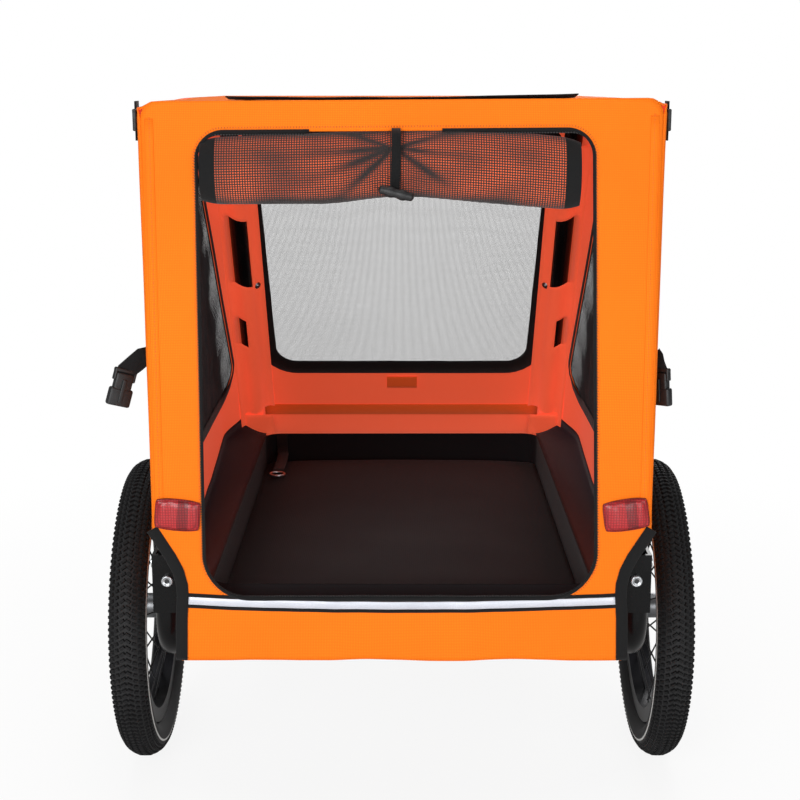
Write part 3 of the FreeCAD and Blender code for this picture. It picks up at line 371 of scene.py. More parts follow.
# %% Studio
FLOOR_HALF = 14.0
floor_mesh = bpy.data.meshes.new("floor")
floor_mesh.from_pydata([(x * FLOOR_HALF, y * FLOOR_HALF, 0) for x, y in SQUARE], [], [(0, 1, 2, 3)])
floor = placed("floor", floor_mesh)
floor_finish, tree, floor_shader = new_finish("studio floor", 0.9)
floor_shader.inputs["Base Color"].default_value = linear("#F4F4F3")
where = add(tree, "ShaderNodeTexCoord")
away = add(tree, "ShaderNodeVectorMath", links={0: where.outputs["Object"]}, operation="LENGTH")
fade = add(tree, "ShaderNodeMapRange", {1: 0.5, 2: 1.3, 3: 0.88, 4: 1.0}, {0: away.outputs["Value"]})
white = add(tree, "ShaderNodeEmission", {"Strength": 1.0})
rays = add(tree, "ShaderNodeLightPath")
seen = add(
    tree, "ShaderNodeMath", links={0: fade.outputs[0], 1: rays.outputs["Is Camera Ray"]},
    operation="MULTIPLY",
)
floor_mix = add(
    tree, "ShaderNodeMixShader",
    links={0: seen.outputs[0], 1: floor_shader.outputs[0], 2: white.outputs[0]},
)
tree.links.new(floor_mix.outputs[0], tree.nodes["Material Output"].inputs["Surface"])
floor_mesh.materials.append(floor_finish)

world = bpy.data.worlds.new("studio")
world.use_nodes = True
scene.world = world
tree = world.node_tree
rays = add(tree, "ShaderNodeLightPath")
seen = add(
    tree, "ShaderNodeMath",
    links={0: rays.outputs["Is Camera Ray"], 1: rays.outputs["Is Transmission Ray"]}, operation="MAXIMUM",
)
strength = add(tree, "ShaderNodeMapRange", {3: 0.28, 4: 1.0}, {0: seen.outputs[0]})
backdrop = tree.nodes["Background"]
backdrop.inputs["Color"].default_value = (1, 1, 1, 1)
tree.links.new(strength.outputs[0], backdrop.inputs["Strength"])

# Name, place, width in metres and watts.
LAMPS = (
    ("key", (-1.2, -3.5, 1.35), 1.6, 64),
    ("fill", (1.3, -3.6, 0.8), 1.6, 34),
    ("top", (0.0, 0.2, 3.2), 2.6, 44),
    ("back", (0.9, 3.4, 1.7), 1.8, 46),
)
LAMP_AIM = Vector((0, -0.4, 0.4))
for lamp_name, lamp_place, lamp_size, lamp_power in LAMPS:
    lamp_data = bpy.data.lights.new(lamp_name, "AREA")
    lamp_data.size = lamp_size
    lamp_data.energy = lamp_power
    lamp = placed(lamp_name, lamp_data)
    lamp.location = lamp_place
    lamp.visible_camera = False
    lamp.rotation_euler = (LAMP_AIM - lamp.location).to_track_quat("-Z", "Y").to_euler()

# %% [markdown]
# Mesh helpers. Sewn panels are rings of cloth round an opening: rays from the middle of the
# opening meet its edge and the panel's edge, and the cloth runs between the two. Tapes, straps
# and bars are a profile swept along points.

# %% Mesh helpers
CLOTH_THICK = 1.6 * MM


def piece_of(name, points, faces, uvs, finishes):
    """A new object from plain lists; uvs are one pair for each point."""
    mesh = bpy.data.meshes.new(name)
    mesh.from_pydata([tuple(point) for point in points], [], faces)
    layer = mesh.uv_layers.new(name="cloth")
    for loop in mesh.loops:
        layer.data[loop.index].uv = uvs[loop.vertex_index]
    for finish in finishes:
        mesh.materials.append(finish)
    mesh.polygons.foreach_set("use_smooth", [True] * len(mesh.polygons))
    return placed(name, mesh)


def plain(piece):
    """Turns the modifiers' result into the piece's own mesh."""
    bpy.context.view_layer.update()
    shown = piece.evaluated_get(bpy.context.evaluated_depsgraph_get())
    mesh = bpy.data.meshes.new_from_object(shown)
    piece.modifiers.clear()
    old = piece.data
    piece.data = mesh
    bpy.data.meshes.remove(old)
    mesh.name = piece.name
    return piece


def thickened(piece, thickness, two_sided=False):
    """Gives a sheet its thickness, behind its front face."""
    solid = piece.modifiers.new("thickness", "SOLIDIFY")
    solid.thickness = thickness
    solid.offset = -1
    solid.material_offset = 1 if two_sided else 0
    return plain(piece)


def face_towards(piece, outward):
    """Turns a sheet's faces so that they look along outward."""
    mesh = piece.data
    total = sum((face.normal * face.area for face in mesh.polygons), Vector())
    if total.dot(Vector(outward)) < 0:
        mesh.flip_normals()
    return piece


def outward_faces(piece):
    """Turns every face of a closed piece outwards."""
    shape = bmesh.new()
    shape.from_mesh(piece.data)
    bmesh.ops.recalc_face_normals(shape, faces=shape.faces)
    shape.to_mesh(piece.data)
    shape.free()
    return piece


def tube_faces(rings, sides, closed=False):
    """Faces between rings of points; closed joins the last ring to the first."""
    return [
        (
            ring * sides + spot, ring * sides + (spot + 1) % sides,
            (ring + 1) % rings * sides + (spot + 1) % sides, (ring + 1) % rings * sides + spot,
        )
        for ring in range(rings if closed else rings - 1) for spot in range(sides)
    ]


def end_faces(rings, sides):
    """The two faces that close a tube's ends."""
    return [tuple(reversed(range(sides))), tuple(range((rings - 1) * sides, rings * sides))]


def grid_faces(columns, rows, first=0):
    """Faces of a grid of points that is listed column by column."""
    step = rows + 1
    corners = [first + column * step + row for column in range(columns) for row in range(rows)]
    return [(corner, corner + step, corner + step + 1, corner + 1) for corner in corners]


def outline(corners, steps=8):
    """A closed outline with round corners; a corner is across, up and its radius."""
    line = []
    for place, (across, up, radius) in enumerate(corners):
        point = Vector((across, up))
        before = (Vector(corners[place - 1][:2]) - point).normalized()
        after = (Vector(corners[(place + 1) % len(corners)][:2]) - point).normalized()
        half = before.angle(after) / 2
        middle = point + (before + after).normalized() * (radius / math.sin(half))
        start = point + before * (radius / math.tan(half)) - middle
        end = point + after * (radius / math.tan(half)) - middle
        for step in range(steps + 1):
            line.append(middle + start.lerp(end, step / steps).normalized() * radius)
    return np.array(line)


def cast(line, centre, angles):
    """Where rays from centre meet a closed outline."""
    near = line - centre
    far = np.roll(near, -1, axis=0)
    hits = []
    for angle in angles:
        ray = np.array((math.cos(angle), math.sin(angle)))
        side_near = ray[0] * near[:, 1] - ray[1] * near[:, 0]
        side_far = ray[0] * far[:, 1] - ray[1] * far[:, 0]
        span = side_near - side_far
        crossing = (side_near * side_far <= 0) & (np.abs(span) > 1e-12)
        share = np.where(crossing, side_near / np.where(crossing, span, 1), 0)
        met = near + (far - near) * share[:, None]
        reach = met @ ray
        reach[~crossing] = -1
        hits.append(centre + met[int(np.argmax(reach))])
    return np.array(hits)


def sheet_of(name, points, faces, uvs, finishes, outward, thickness):
    """A sheet that faces outward, with its thickness behind, and its area."""
    made = face_towards(piece_of(name, points, faces, uvs, finishes), outward)
    area = sum(face.area for face in made.data.polygons)
    return thickened(made, thickness, len(finishes) > 1), area


def ring_sheet(name, outer, inner, centre, levels, to_space, outward, finishes):
    """A panel of cloth round an opening, in a plane that to_space bends into shape."""
    centre = np.array(centre)
    corner_angles = [np.arctan2(*(line - centre).T[::-1]) for line in (outer, inner)]
    even = np.linspace(-math.pi, math.pi, 300, endpoint=False)
    angles = np.unique(np.round(np.concatenate([even, *corner_angles]), 4))
    start, end = cast(inner, centre, angles), cast(outer, centre, angles)
    rings = [start + (end - start) * (level / levels) for level in range(levels + 1)]
    flat = [tuple(pair) for ring in rings for pair in ring]
    points = [to_space(*pair) for pair in flat]
    faces = tube_faces(levels + 1, len(angles))
    return sheet_of(name, points, faces, flat, finishes, outward, CLOTH_THICK)


def grid_sheet(name, low, high, columns, rows, to_space, finishes, thickness):
    """A sheet over a rectangle, bent by to_space."""
    flat = [
        (low[0] + (high[0] - low[0]) * column / columns, low[1] + (high[1] - low[1]) * row / rows)
        for column in range(columns + 1) for row in range(rows + 1)
    ]
    points = [to_space(*pair) for pair in flat]
    return sheet_of(name, points, grid_faces(columns, rows), flat, finishes, (0, 0, 1), thickness)


def swept(name, points, profile, facing, finish, closed=False):
    """A profile of across and out, swept along points; facing is its out direction."""
    points = [Vector(point) for point in points]
    count, size = len(points), len(profile)
    rings, uvs, run = [], [], 0.0
    for place, point in enumerate(points):
        before = points[place - 1] if place or closed else point
        after = points[(place + 1) % count] if place < count - 1 or closed else point
        heading = (after - before).normalized()
        out = Vector(facing(point) if callable(facing) else facing)
        side = heading.cross(out).normalized()
        out = side.cross(heading).normalized()
        if place:
            run += (point - points[place - 1]).length
        girth = 0.0
        for spot, (across, up) in enumerate(profile):
            rings.append(point + side * across + out * up)
            if spot:
                girth += math.dist(profile[spot - 1], profile[spot])
            uvs.append((run, girth))
    faces = tube_faces(count, size, closed) + ([] if closed else end_faces(count, size))
    return outward_faces(piece_of(name, rings, faces, uvs, [finish]))


def turned(name, profile, place, axis, finish, sides=24):
    """A turned piece: a profile of radius and height, round an axis."""
    axis = Vector(axis).normalized()
    first = axis.orthogonal().normalized()
    second = axis.cross(first)
    points = [
        Vector(place) + axis * height + (first * math.cos(turn) + second * math.sin(turn)) * radius
        for radius, height in profile for turn in turns(sides)
    ]
    faces = tube_faces(len(profile), sides) + end_faces(len(profile), sides)
    return outward_faces(piece_of(name, points, faces, [(0, 0)] * len(points), [finish]))


def flat_profile(width, thickness):
    """A strap's section: a flat bar with eased edges, from its seat outwards."""
    half, ease = width / 2, min(thickness, width) * 0.3
    return [
        (-half + ease, 0), (half - ease, 0), (half, ease), (half, thickness - ease),
        (half - ease, thickness), (-half + ease, thickness), (-half, thickness - ease), (-half, ease),
    ]


def round_profile(radius, sides=12):
    """A round bar's section."""
    return [(radius * math.cos(turn), radius * math.sin(turn)) for turn in turns(sides)]


def eased_box(name, size, place, finish, ease, turn=None):
    """A moulded block with round edges; turn is a matrix round its middle."""
    shape = bmesh.new()
    bmesh.ops.create_cube(shape, size=1)
    bmesh.ops.scale(shape, vec=size, verts=shape.verts)
    bmesh.ops.bevel(shape, geom=shape.edges[:], offset=ease, segments=3, profile=0.5, affect="EDGES")
    if turn is not None:
        bmesh.ops.transform(shape, matrix=turn.to_4x4(), verts=shape.verts)
    bmesh.ops.translate(shape, vec=place, verts=shape.verts)
    bmesh.ops.recalc_face_normals(shape, faces=shape.faces)
    mesh = bpy.data.meshes.new(name)
    mesh.uv_layers.new(name="cloth")
    shape.to_mesh(mesh)
    shape.free()
    mesh.materials.append(finish)
    mesh.polygons.foreach_set("use_smooth", [True] * len(mesh.polygons))
    return placed(name, mesh)


def joined(name, pieces):
    """Several pieces as one object."""
    with bpy.context.temp_override(
        active_object=pieces[0], selected_objects=pieces, selected_editable_objects=pieces,
    ):
        bpy.ops.object.join()
    pieces[0].name = name
    pieces[0].data.name = name
    return pieces[0]


def settled(across, up, size=0.11, seed=0.0):
    """Slow unevenness of stretched cloth, from -1 to 1."""
    return noise.noise(Vector((across / size, up / size, seed)))


# %% [markdown]
# Stitches, zip teeth and tread blocks all repeat along a line. One Geometry Nodes tree does it:
# it walks along the line, sets a block at every step, and turns the block to the line and
# to the side it faces. A second tree turns net lines into yarn with a real thickness.

# %% Trees for what repeats
def sockets_of(tree, given):
    """Names the tree's inputs and its one output."""
    for name, kind in given:
        tree.interface.new_socket(name, in_out="INPUT", socket_type="NodeSocket" + kind)
    tree.interface.new_socket("Result", in_out="OUTPUT", socket_type="NodeSocketGeometry")
    return add(tree, "NodeGroupInput").outputs


def dressed_result(tree, grown_shape, finish):
    """Makes the instances real, gives them their finish and ends the tree."""
    real = add(tree, "GeometryNodeRealizeInstances", links={0: grown_shape})
    dressed = add(
        tree, "GeometryNodeSetMaterial", links={"Geometry": real.outputs[0], "Material": finish},
    )
    add(tree, "NodeGroupOutput", links={0: dressed.outputs[0]})
    return tree


def row_tree():
    """Blocks at even steps along a line."""
    tree = bpy.data.node_groups.new("blocks along a line", "GeometryNodeTree")
    given = sockets_of(tree, (
        ("Line", "Geometry"), ("Block", "Object"), ("Spacing", "Float"), ("Size", "Vector"),
        ("Facing", "Vector"), ("Centre", "Vector"), ("Round", "Float"), ("Turn", "Float"),
        ("Finish", "Material"),
    ))
    curve = add(tree, "GeometryNodeMeshToCurve", links={"Mesh": given["Line"]})
    steps = add(
        tree, "GeometryNodeResampleCurve",
        links={"Curve": curve.outputs[0], "Length": given["Spacing"]}, mode="LENGTH",
    )
    position = add(tree, "GeometryNodeInputPosition")
    away = add(
        tree, "ShaderNodeVectorMath", links={0: position.outputs[0], 1: given["Centre"]},
        operation="SUBTRACT",
    )
    facing = add(
        tree, "ShaderNodeMix", links={0: given["Round"], 4: given["Facing"], 5: away.outputs[0]},
        data_type="VECTOR",
    )
    tangent = add(tree, "GeometryNodeInputTangent")
    along = add(tree, "FunctionNodeAlignRotationToVector", links={"Vector": tangent.outputs[0]}, axis="X")
    upright = add(
        tree, "FunctionNodeAlignRotationToVector",
        links={"Rotation": along.outputs[0], "Vector": facing.outputs[1]}, axis="Z", pivot_axis="X",
    )
    twist = add(tree, "FunctionNodeAxisAngleToRotation", {"Axis": (0, 0, 1)}, {"Angle": given["Turn"]})
    rotated = add(
        tree, "FunctionNodeRotateRotation",
        links={"Rotation": upright.outputs[0], "Rotate By": twist.outputs[0]}, rotation_space="LOCAL",
    )
    block = add(tree, "GeometryNodeObjectInfo", links={"Object": given["Block"]})
    blocks = add(
        tree, "GeometryNodeInstanceOnPoints",
        links={
            "Points": steps.outputs[0], "Instance": block.outputs["Geometry"],
            "Rotation": rotated.outputs[0], "Scale": given["Size"],
        },
    )
    return dressed_result(tree, blocks.outputs[0], given["Finish"])


def yarn_tree():
    """A square yarn along every net line."""
    tree = bpy.data.node_groups.new("yarn on net lines", "GeometryNodeTree")
    given = sockets_of(tree, (("Lines", "Geometry"), ("Yarn", "Float"), ("Finish", "Material")))
    curve = add(tree, "GeometryNodeMeshToCurve", links={"Mesh": given["Lines"]})
    section = add(
        tree, "GeometryNodeCurvePrimitiveQuadrilateral",
        links={"Width": given["Yarn"], "Height": given["Yarn"]},
    )
    yarn = add(
        tree, "GeometryNodeCurveToMesh", {"Fill Caps": True},
        {"Curve": curve.outputs[0], "Profile Curve": section.outputs[0]},
    )
    return dressed_result(tree, yarn.outputs[0], given["Finish"])


ROW_TREE = row_tree()
YARN_TREE = yarn_tree()


def grown(name, points, edges, tree, inputs):
    """Runs a tree on a wire of points and edges and keeps the plain mesh."""
    wire = bpy.data.meshes.new(name)
    wire.from_pydata([tuple(point) for point in points], edges, [])
    made = placed(name, wire)
    growth = made.modifiers.new("growth", "NODES")
    growth.node_group = tree
    for socket in tree.interface.items_tree:
        if socket.in_out == "INPUT" and socket.name in inputs:
            growth[socket.identifier] = inputs[socket.name]
    plain(made)
    made.data.polygons.foreach_set("use_smooth", [False] * len(made.data.polygons))
    return made


def row_of(name, points, block, spacing, size, facing, finish, closed=False, centre=None, turn=0.0):
    """Blocks along a line of points; with a centre they face away from it."""
    count = len(points)
    edges = [(place, (place + 1) % count) for place in range(count if closed else count - 1)]
    return grown(name, points, edges, ROW_TREE, {
        "Block": block, "Spacing": spacing, "Size": size, "Facing": facing,
        "Centre": centre or (0, 0, 0), "Round": 1.0 if centre else 0.0, "Turn": turn, "Finish": finish,
    })


def unit_block(name, top_share):
    """A block one unit long, wide and high on its seat, narrower at the top."""
    half, top = 0.5, 0.5 * top_share
    points = [(x * half, y * half, 0) for x, y in SQUARE] + [(x * top, y * top, 1) for x, y in SQUARE]
    faces = [(3, 2, 1, 0), (4, 5, 6, 7), (0, 1, 5, 4), (1, 2, 6, 5), (2, 3, 7, 6), (3, 0, 4, 7)]
    mesh = bpy.data.meshes.new(name)
    mesh.from_pydata(points, [], faces)
    return placed(name, mesh)


STITCH_BLOCK = unit_block("stitch_block", 0.7)
KNOB_BLOCK = unit_block("knob_block", 0.74)


def net_lines(line, spacing, to_space, pieces=14):
    """Wire for a square net inside a closed outline; each line has some pieces."""
    points, edges = [], []
    for axis in (0, 1):
        low, high = line[:, axis].min(), line[:, axis].max()
        rows = int((high - low) / spacing)
        for row in range(1, rows + 1):
            here = line[:, axis] - (low + (high - low) * row / (rows + 1))
            there = np.roll(here, -1)
            crossing = here * there < 0
            share = here[crossing] / (here[crossing] - there[crossing])
            ahead = np.roll(line, -1, axis=0)[crossing]
            ends = line[crossing] + (ahead - line[crossing]) * share[:, None]
            if len(ends) != 2:
                continue
            first = len(points)
            points += [to_space(*(ends[0] + (ends[1] - ends[0]) * s / pieces)) for s in range(pieces + 1)]
            edges += [(first + step, first + step + 1) for step in range(pieces)]
    return points, edges


# %% [markdown]
# The frame keeps its CAD shapes and only gets its finishes here.

# %% Frame finishes
FRAME_FINISHES = {
    POWDER: (
        "base_rail_left", "base_rail_right", "rear_cross_tube", "axle_cross_tube", "front_cross_tube",
        "rear_upright_left", "rear_upright_right", "rear_crossbar", "front_strut_left",
        "front_strut_right", "front_crossbar", "tow_arm", "rear_brackets", "front_brackets",
        "axle_plates", "tow_cheeks",
    ),
    ZINC: ("hinge_pins", "lock_bolts", "stub_axles", "tow_pin", "hitch_bolt", "hitch_plate"),
    ANODISED: ("rim_left", "rim_right"),
    HUB_METAL: ("hub_left", "hub_right"),
    DARK_STEEL: ("spokes_left", "spokes_right"),
    NYLON: (
        "rear_corners", "front_corners", "release_button_left", "release_button_right", "hitch_knuckle",
    ),
}
for finish, members in FRAME_FINISHES.items():
    for member in members:
        frame["nodes"][member].data.materials.clear()
        frame["nodes"][member].data.materials.append(finish)

# %% [markdown]
# The bolts that lock the rear hoop show a turned flange and a dark six-sided socket.

# %% Bolt faces
BOLTS_LOW, BOLTS_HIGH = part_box("lock_bolts")
BOLT_RADIUS = (BOLTS_HIGH.z - BOLTS_LOW.z) / 2
# Radius and height, in millimetres.
BOLT_FLANGE = ((6.2, 0), (6.4, 0.5), (5.6, 1.2), (4.6, 1.2), (4.2, 0.6), (3.2, 0.6), (2.9, 0.3))
BOLT_SOCKET = ((2.9, 0), (2.9, 0.5), (2.4, 0.55))
for side, sign in SIDES:
    middle = Vector((sign * (BOLTS_HIGH.x - BOLT_RADIUS), BOLTS_LOW.y, (BOLTS_LOW.z + BOLTS_HIGH.z) / 2))
    for label, profile, finish, sides in (
        ("flange", BOLT_FLANGE, ZINC, 30), ("socket", BOLT_SOCKET, NYLON, 6),
    ):
        shape = [mm(*pair) for pair in profile]
        rides(turned(f"bolt_{label}_{side}", shape, middle, OUT, finish, sides), "chassis", "zinc_steel")

# %% [markdown]
# The rear cover is one sewn panel with the door cut out of it. On the trailer it hangs on the rear
# hoop, and below the hoop's hinge it is fixed to the floor frame, so it bends across that hinge
# when the trailer folds; here it is set in place as one still sheet. Its lower corners are cut
# away for the wheels.

# %% Rear cover
PANEL_LOW, PANEL_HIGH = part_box("rear_panel")
SKIRT_LOW, SKIRT_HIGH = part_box("rear_skirt")
COVER_FACE = PANEL_LOW.y
REAR_PIVOT = Vector(JOINTS["frame_fold"]["pos_m"])
DOOR_MIDDLE = -6 * MM
DOOR_TOP, DOOR_SILL = mm(866, 351)
DOOR_HALF_LOW = 216 * MM
# Across, up and radius: the cloth hangs a little askew, so the two sides differ.
DOOR_CORNERS = (
    (215.5 * MM, DOOR_SILL, 52 * MM), (199.5 * MM, DOOR_TOP, 28 * MM),
    (-214 * MM, DOOR_TOP, 28 * MM), (-218.5 * MM, DOOR_SILL, 50 * MM),
)
SEWN_EDGE = PANEL_HIGH.x - 1.5 * MM
TOP_EDGE = PANEL_HIGH.x - 5 * MM
HEM_HALF = SKIRT_HIGH.x + 9 * MM
HEM = SKIRT_LOW.z + 4 * MM
COVER_TOP = PANEL_HIGH.z + 6 * MM
CORNER_CUT_TOP = 427 * MM
TOP_DROP = 1.9 * MM
SEWN_EASE = 45 * MM


def both_sides(right_half):
    """Corners up the right side, then mirrored down the left."""
    return list(right_half) + [(-across, up, radius) for across, up, radius in reversed(right_half)]


COVER_OUTER = outline(both_sides([
    (HEM_HALF, HEM, 6 * MM), mm(247.5, 352, 12), mm(253.5, 394, 16),
    (SEWN_EDGE, CORNER_CUT_TOP, 10 * MM), (TOP_EDGE, COVER_TOP, 17 * MM),
]))


def door_outline(grow):
    """The door's edge, larger by grow, with its corners."""
    return outline([
        (across + math.copysign(grow, across), up + (grow if up > REAR_PIVOT.z else -grow), radius + grow)
        for across, up, radius in DOOR_CORNERS
    ], steps=12)


def top_drop(across, up):
    """How far the top of the cover sinks: most on the left, where it is slackest."""
    return TOP_DROP * (1 - across / PANEL_HIGH.x) * smooth((up - 0.72) / 0.14)


def cover_point(across, up, lift=0.0):
    """A point on the rear cover, stretched and wavy at the hem, and flat where sewn to the walls."""
    wave = 2.6 * MM * (settled(across, up) + 1) / 2
    tension = 0.8 * MM * (1 + math.sin((across * 0.7 + up) / (26 * MM))) / 2
    near_corner = max(0.0, 1 - abs(abs(across) - DOOR_HALF_LOW) / (90 * MM))
    near_corner *= max(0.0, 1 - abs(up - 0.45) / 0.14)
    sewn = clamp((up - 0.41) / 0.05) * max(0.0, 1 - (SEWN_EDGE - abs(across)) / SEWN_EASE)
    hem = max(0.0, 1 - (up - HEM) / (55 * MM))
    hang = 2.4 * MM * (noise.noise(Vector((across / (30 * MM), up / 0.35, 6.0))) + 1) / 2
    ripple = 1.6 * MM * hem * (1 + math.sin(across / (21 * MM) + 2 * settled(across, 0.0, 0.2, 4.0))) / 2
    sag = 1.6 * MM * hem * settled(across, 0.0, 0.09, 9.0)
    loose = (wave + hang) * max(0.0, 1 - sewn) + tension * near_corner + ripple
    return Vector((across, COVER_FACE - loose - lift, up + sag - top_drop(across, up)))


rear_cover, rear_area = ring_sheet(
    "rear_cover", COVER_OUTER, door_outline(0), (DOOR_MIDDLE, 0.6), 12, cover_point, OUT, [ORANGE, INSIDE],
)
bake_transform(rear_cover)
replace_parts(rear_cover, "rear_panel", "rear_skirt")

# %% [markdown]
# The door's edge has a woven tape, the zip's teeth on it, and a row of stitches in the orange
# cloth. Tape and teeth follow the door's outline, so they are swept and walked along it.

# %% Door edge
def along_cover(line, lift):
    """Points of a flat outline, set on the rear cover."""
    return [cover_point(across, up, lift) for across, up in line]


def fixed_to_cover(piece, slot, *nodes):
    """A piece set in place on the rear cover, in world space."""
    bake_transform(piece)
    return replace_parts(piece, *nodes) if nodes else piece


def dense(line, gap=8 * MM):
    """An outline with no step longer than gap."""
    filled = []
    for here, there in zip(line, np.roll(line, -1, axis=0)):
        count = max(1, int(math.dist(here, there) / gap))
        filled += [here + (there - here) * step / count for step in range(count)]
    return np.array(filled)


def round_door(grow):
    """The door's edge without the stretch at the top where the roll covers it."""
    line = dense(door_outline(grow))
    bare = (line[:, 1] > DOOR_TOP - 10 * MM) & (line[:, 0] > -95 * MM) & (line[:, 0] < 40 * MM)
    start = int(np.nonzero(bare)[0].max()) + 1
    return np.roll(line, -start, axis=0)[:len(line) - int(bare.sum())]


door_tape = swept(
    "door_tape", along_cover(round_door(0.7 * MM), 0.2 * MM), flat_profile(*mm(3.4, 1.5)), OUT, BINDING,
)
zip_tape = swept(
    "zip_tape", along_cover(round_door(-1.9 * MM), -1.0 * MM), flat_profile(*mm(3, 0.9)), OUT, BINDING,
)
zip_teeth = row_of(
    "zip_teeth", along_cover(round_door(-2.8 * MM), -0.2 * MM), KNOB_BLOCK, 3 * MM, mm(1.8, 1.4, 1),
    OUT, NYLON,
)
fixed_to_cover(door_tape, "black_webbing", "door_zip")
fixed_to_cover(zip_tape, "black_webbing")
fixed_to_cover(zip_teeth, "black_plastic")
door_stitches = row_of(
    "door_stitches", along_cover(dense(door_outline(4.6 * MM)), 0.0), STITCH_BLOCK, 3 * MM,
    mm(1.1, 2, 0.45), OUT, THREAD, closed=True,
)
fixed_to_cover(door_stitches, "orange_cloth")

# %% [markdown]
# The cut lower corners are bound with black tape, and each side edge is folded over and sewn
# with a line of stitches a little way in.

# %% Side edges of the cover
# The cut corner, from the side edge down to the hem.
CORNER_LINE = (
    mm(275.5, 431), mm(266, 416), mm(255.5, 399), mm(248, 383), mm(244.2, 367), mm(243.9, 352),
    mm(245.8, 328), (247 * MM, HEM + 1 * MM),
)
CORNER_STEPS, SEAM_STEPS = 10, 20
SEAM_LOW, SEAM_RISE, SEAM_INSET = mm(440, 440, 9)
for side, sign in SIDES:
    corner = np.array([(sign * across, up) for across, up in CORNER_LINE])
    route = [
        start + (end - start) * step / CORNER_STEPS
        for start, end in zip(corner, corner[1:]) for step in range(CORNER_STEPS)
    ]
    route.append(corner[-1])
    binding = swept(
        f"corner_binding_{side}", along_cover(route, 0.2 * MM), flat_profile(*mm(13, 1.8)), OUT, BINDING,
    )
    fixed_to_cover(binding, "black_webbing")
    seam = [
        (
            sign * (SEWN_EDGE - SEAM_INSET - (SEWN_EDGE - TOP_EDGE) * step / SEAM_STEPS),
            SEAM_LOW + SEAM_RISE * step / SEAM_STEPS,
        )
        for step in range(SEAM_STEPS + 1)
    ]
    stitches = row_of(
        f"edge_stitches_{side}", along_cover(seam, 0.6 * MM), STITCH_BLOCK, 4.6 * MM, mm(3.2, 0.8, 0.45),
        OUT, THREAD,
    )
    rides(stitches, "rear_hoop", "orange_cloth")
    fold_line = [(across + sign * 0.5 * MM, up) for across, up in seam]
    fold = swept(
        f"edge_fold_{side}", along_cover(fold_line, 0.1 * MM), flat_profile(*mm(9, 0.9)), OUT, ORANGE,
    )
    rides(fold, "rear_hoop", "orange_cloth")

# %% [markdown]
# The reflective band under the door is silver tape between two narrow black ones. It dips a
# little in the middle, where the cloth gives.

# %% Reflective band
BAND_LOW, BAND_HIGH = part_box("reflective_band")
BAND_MIDDLE = (BAND_LOW.z + BAND_HIGH.z) / 2 + 14.5 * MM
BAND_HALF = HEM_HALF - 11 * MM
BAND_DIP = 6 * MM
BAND_STEPS = 60


def band_route(offset):
    """The band's line across the cover, at an offset from its middle."""
    shares = [2 * step / BAND_STEPS - 1 for step in range(BAND_STEPS + 1)]
    heights = [BAND_MIDDLE + offset - BAND_DIP * (1 - share ** 2) for share in shares]
    return [cover_point(share * BAND_HALF, up, 0.2 * MM) for share, up in zip(shares, heights)]


silver_band = swept("silver_band", band_route(0), flat_profile(*mm(8.8, 1)), OUT, TAPE_SILVER)
band_edges = joined("band_edges", [
    swept(f"band_edge_{place}", band_route(offset), flat_profile(*mm(4, 0.9)), OUT, BINDING)
    for place, offset in enumerate(mm(6.6, -6.6))
])
rides(silver_band, "chassis", "silver_band", "reflective_band")
rides(band_edges, "chassis", "black_webbing")

# %% [markdown]
# A reflector is a red lens in a dark red tray, a little taller in its middle. The lens has upright
# facets that each catch the light at another angle, and one band of them is given the dark red as
# painted shade. Each is sewn on with a small tilt.

# %% Reflectors
REFLECTOR_LOW, REFLECTOR_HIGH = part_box("reflectors")
REFLECTOR_TILTS = {"left": math.radians(5), "right": math.radians(8)}
REFLECTOR_SIZE = mm(50, 36)
REFLECTOR_AT = REFLECTOR_HIGH.x - 26.75 * MM
LENS_COLUMNS, LENS_ROWS = 24, 16


def reflector_lens(name, finish_and_shaded_facet, margin, relief):
    """A bowed plate with eased corners in the XZ plane, facing -Y; relief raises its facets, and a band of
    faces takes the second finish as painted shade.
    """
    width, height = REFLECTOR_SIZE[0] - 2 * margin, REFLECTOR_SIZE[1] - 2 * margin
    points, uvs = [], []
    for column in range(LENS_COLUMNS + 1):
        for row in range(LENS_ROWS + 1):
            across, up = column / LENS_COLUMNS * 2 - 1, row / LENS_ROWS * 2 - 1
            pull = 1 - 0.05 * across ** 4 * up ** 4
            barrel = 1 - 0.1 * across * across
            facet = 0.5 * MM * math.cos(3 * math.pi * across)
            dome = 3 * MM * (1 - across ** 4) * (1 - up ** 4) + facet * (1 - up ** 4) * (1 - across ** 6)
            points.append((across * width / 2 * pull, -dome * relief, up * height / 2 * pull * barrel))
            uvs.append((across * width / 2, up * height / 2))
    faces = grid_faces(LENS_COLUMNS, LENS_ROWS)
    lens = face_towards(piece_of(name, points, faces, uvs, finish_and_shaded_facet), OUT)
    # The band of faces that takes the second finish is painted shade on the facet that turns from the light.
    for face in lens.data.polygons:
        third = (face.center.x / width + 0.5) * 3
        face.material_index = 1 if 1.55 < third < 2.2 else 0
    return thickened(lens, 1.5 * MM + (1 - relief) * 2.5 * MM)


for side, sign in SIDES:
    middle = Vector((
        sign * REFLECTOR_AT, REFLECTOR_HIGH.y - 3.4 * MM, (REFLECTOR_LOW.z + REFLECTOR_HIGH.z) / 2,
    ))
    turn = Matrix.Rotation(-sign * REFLECTOR_TILTS[side], 3, "Y")
    tray = reflector_lens(f"reflector_tray_{side}", [RED_DARK_AND_FACET_SHADE, RED_DARK_AND_FACET_SHADE], 0.0, 0.0)
    lens = reflector_lens(f"reflector_lens_{side}", [RED_LENS, RED_DARK_AND_FACET_SHADE], 1.1 * MM, 1.0)
    tray.data.transform(Matrix.Translation(middle + Vector((0, -1.4 * MM, 0))) @ turn.to_4x4())
    lens.data.transform(Matrix.Translation(middle + Vector((0, -1.8 * MM, 0))) @ turn.to_4x4())
    rides(tray, "rear_hoop", "red_reflector")
    rides(lens, "rear_hoop", "red_reflector", "reflectors")

# %% [markdown]
# The rolled door is one bundle of netting. Its section is an uneven oval, drawn in and lifted
# where the elastic loop holds it, and folds run out from that point to both ends.

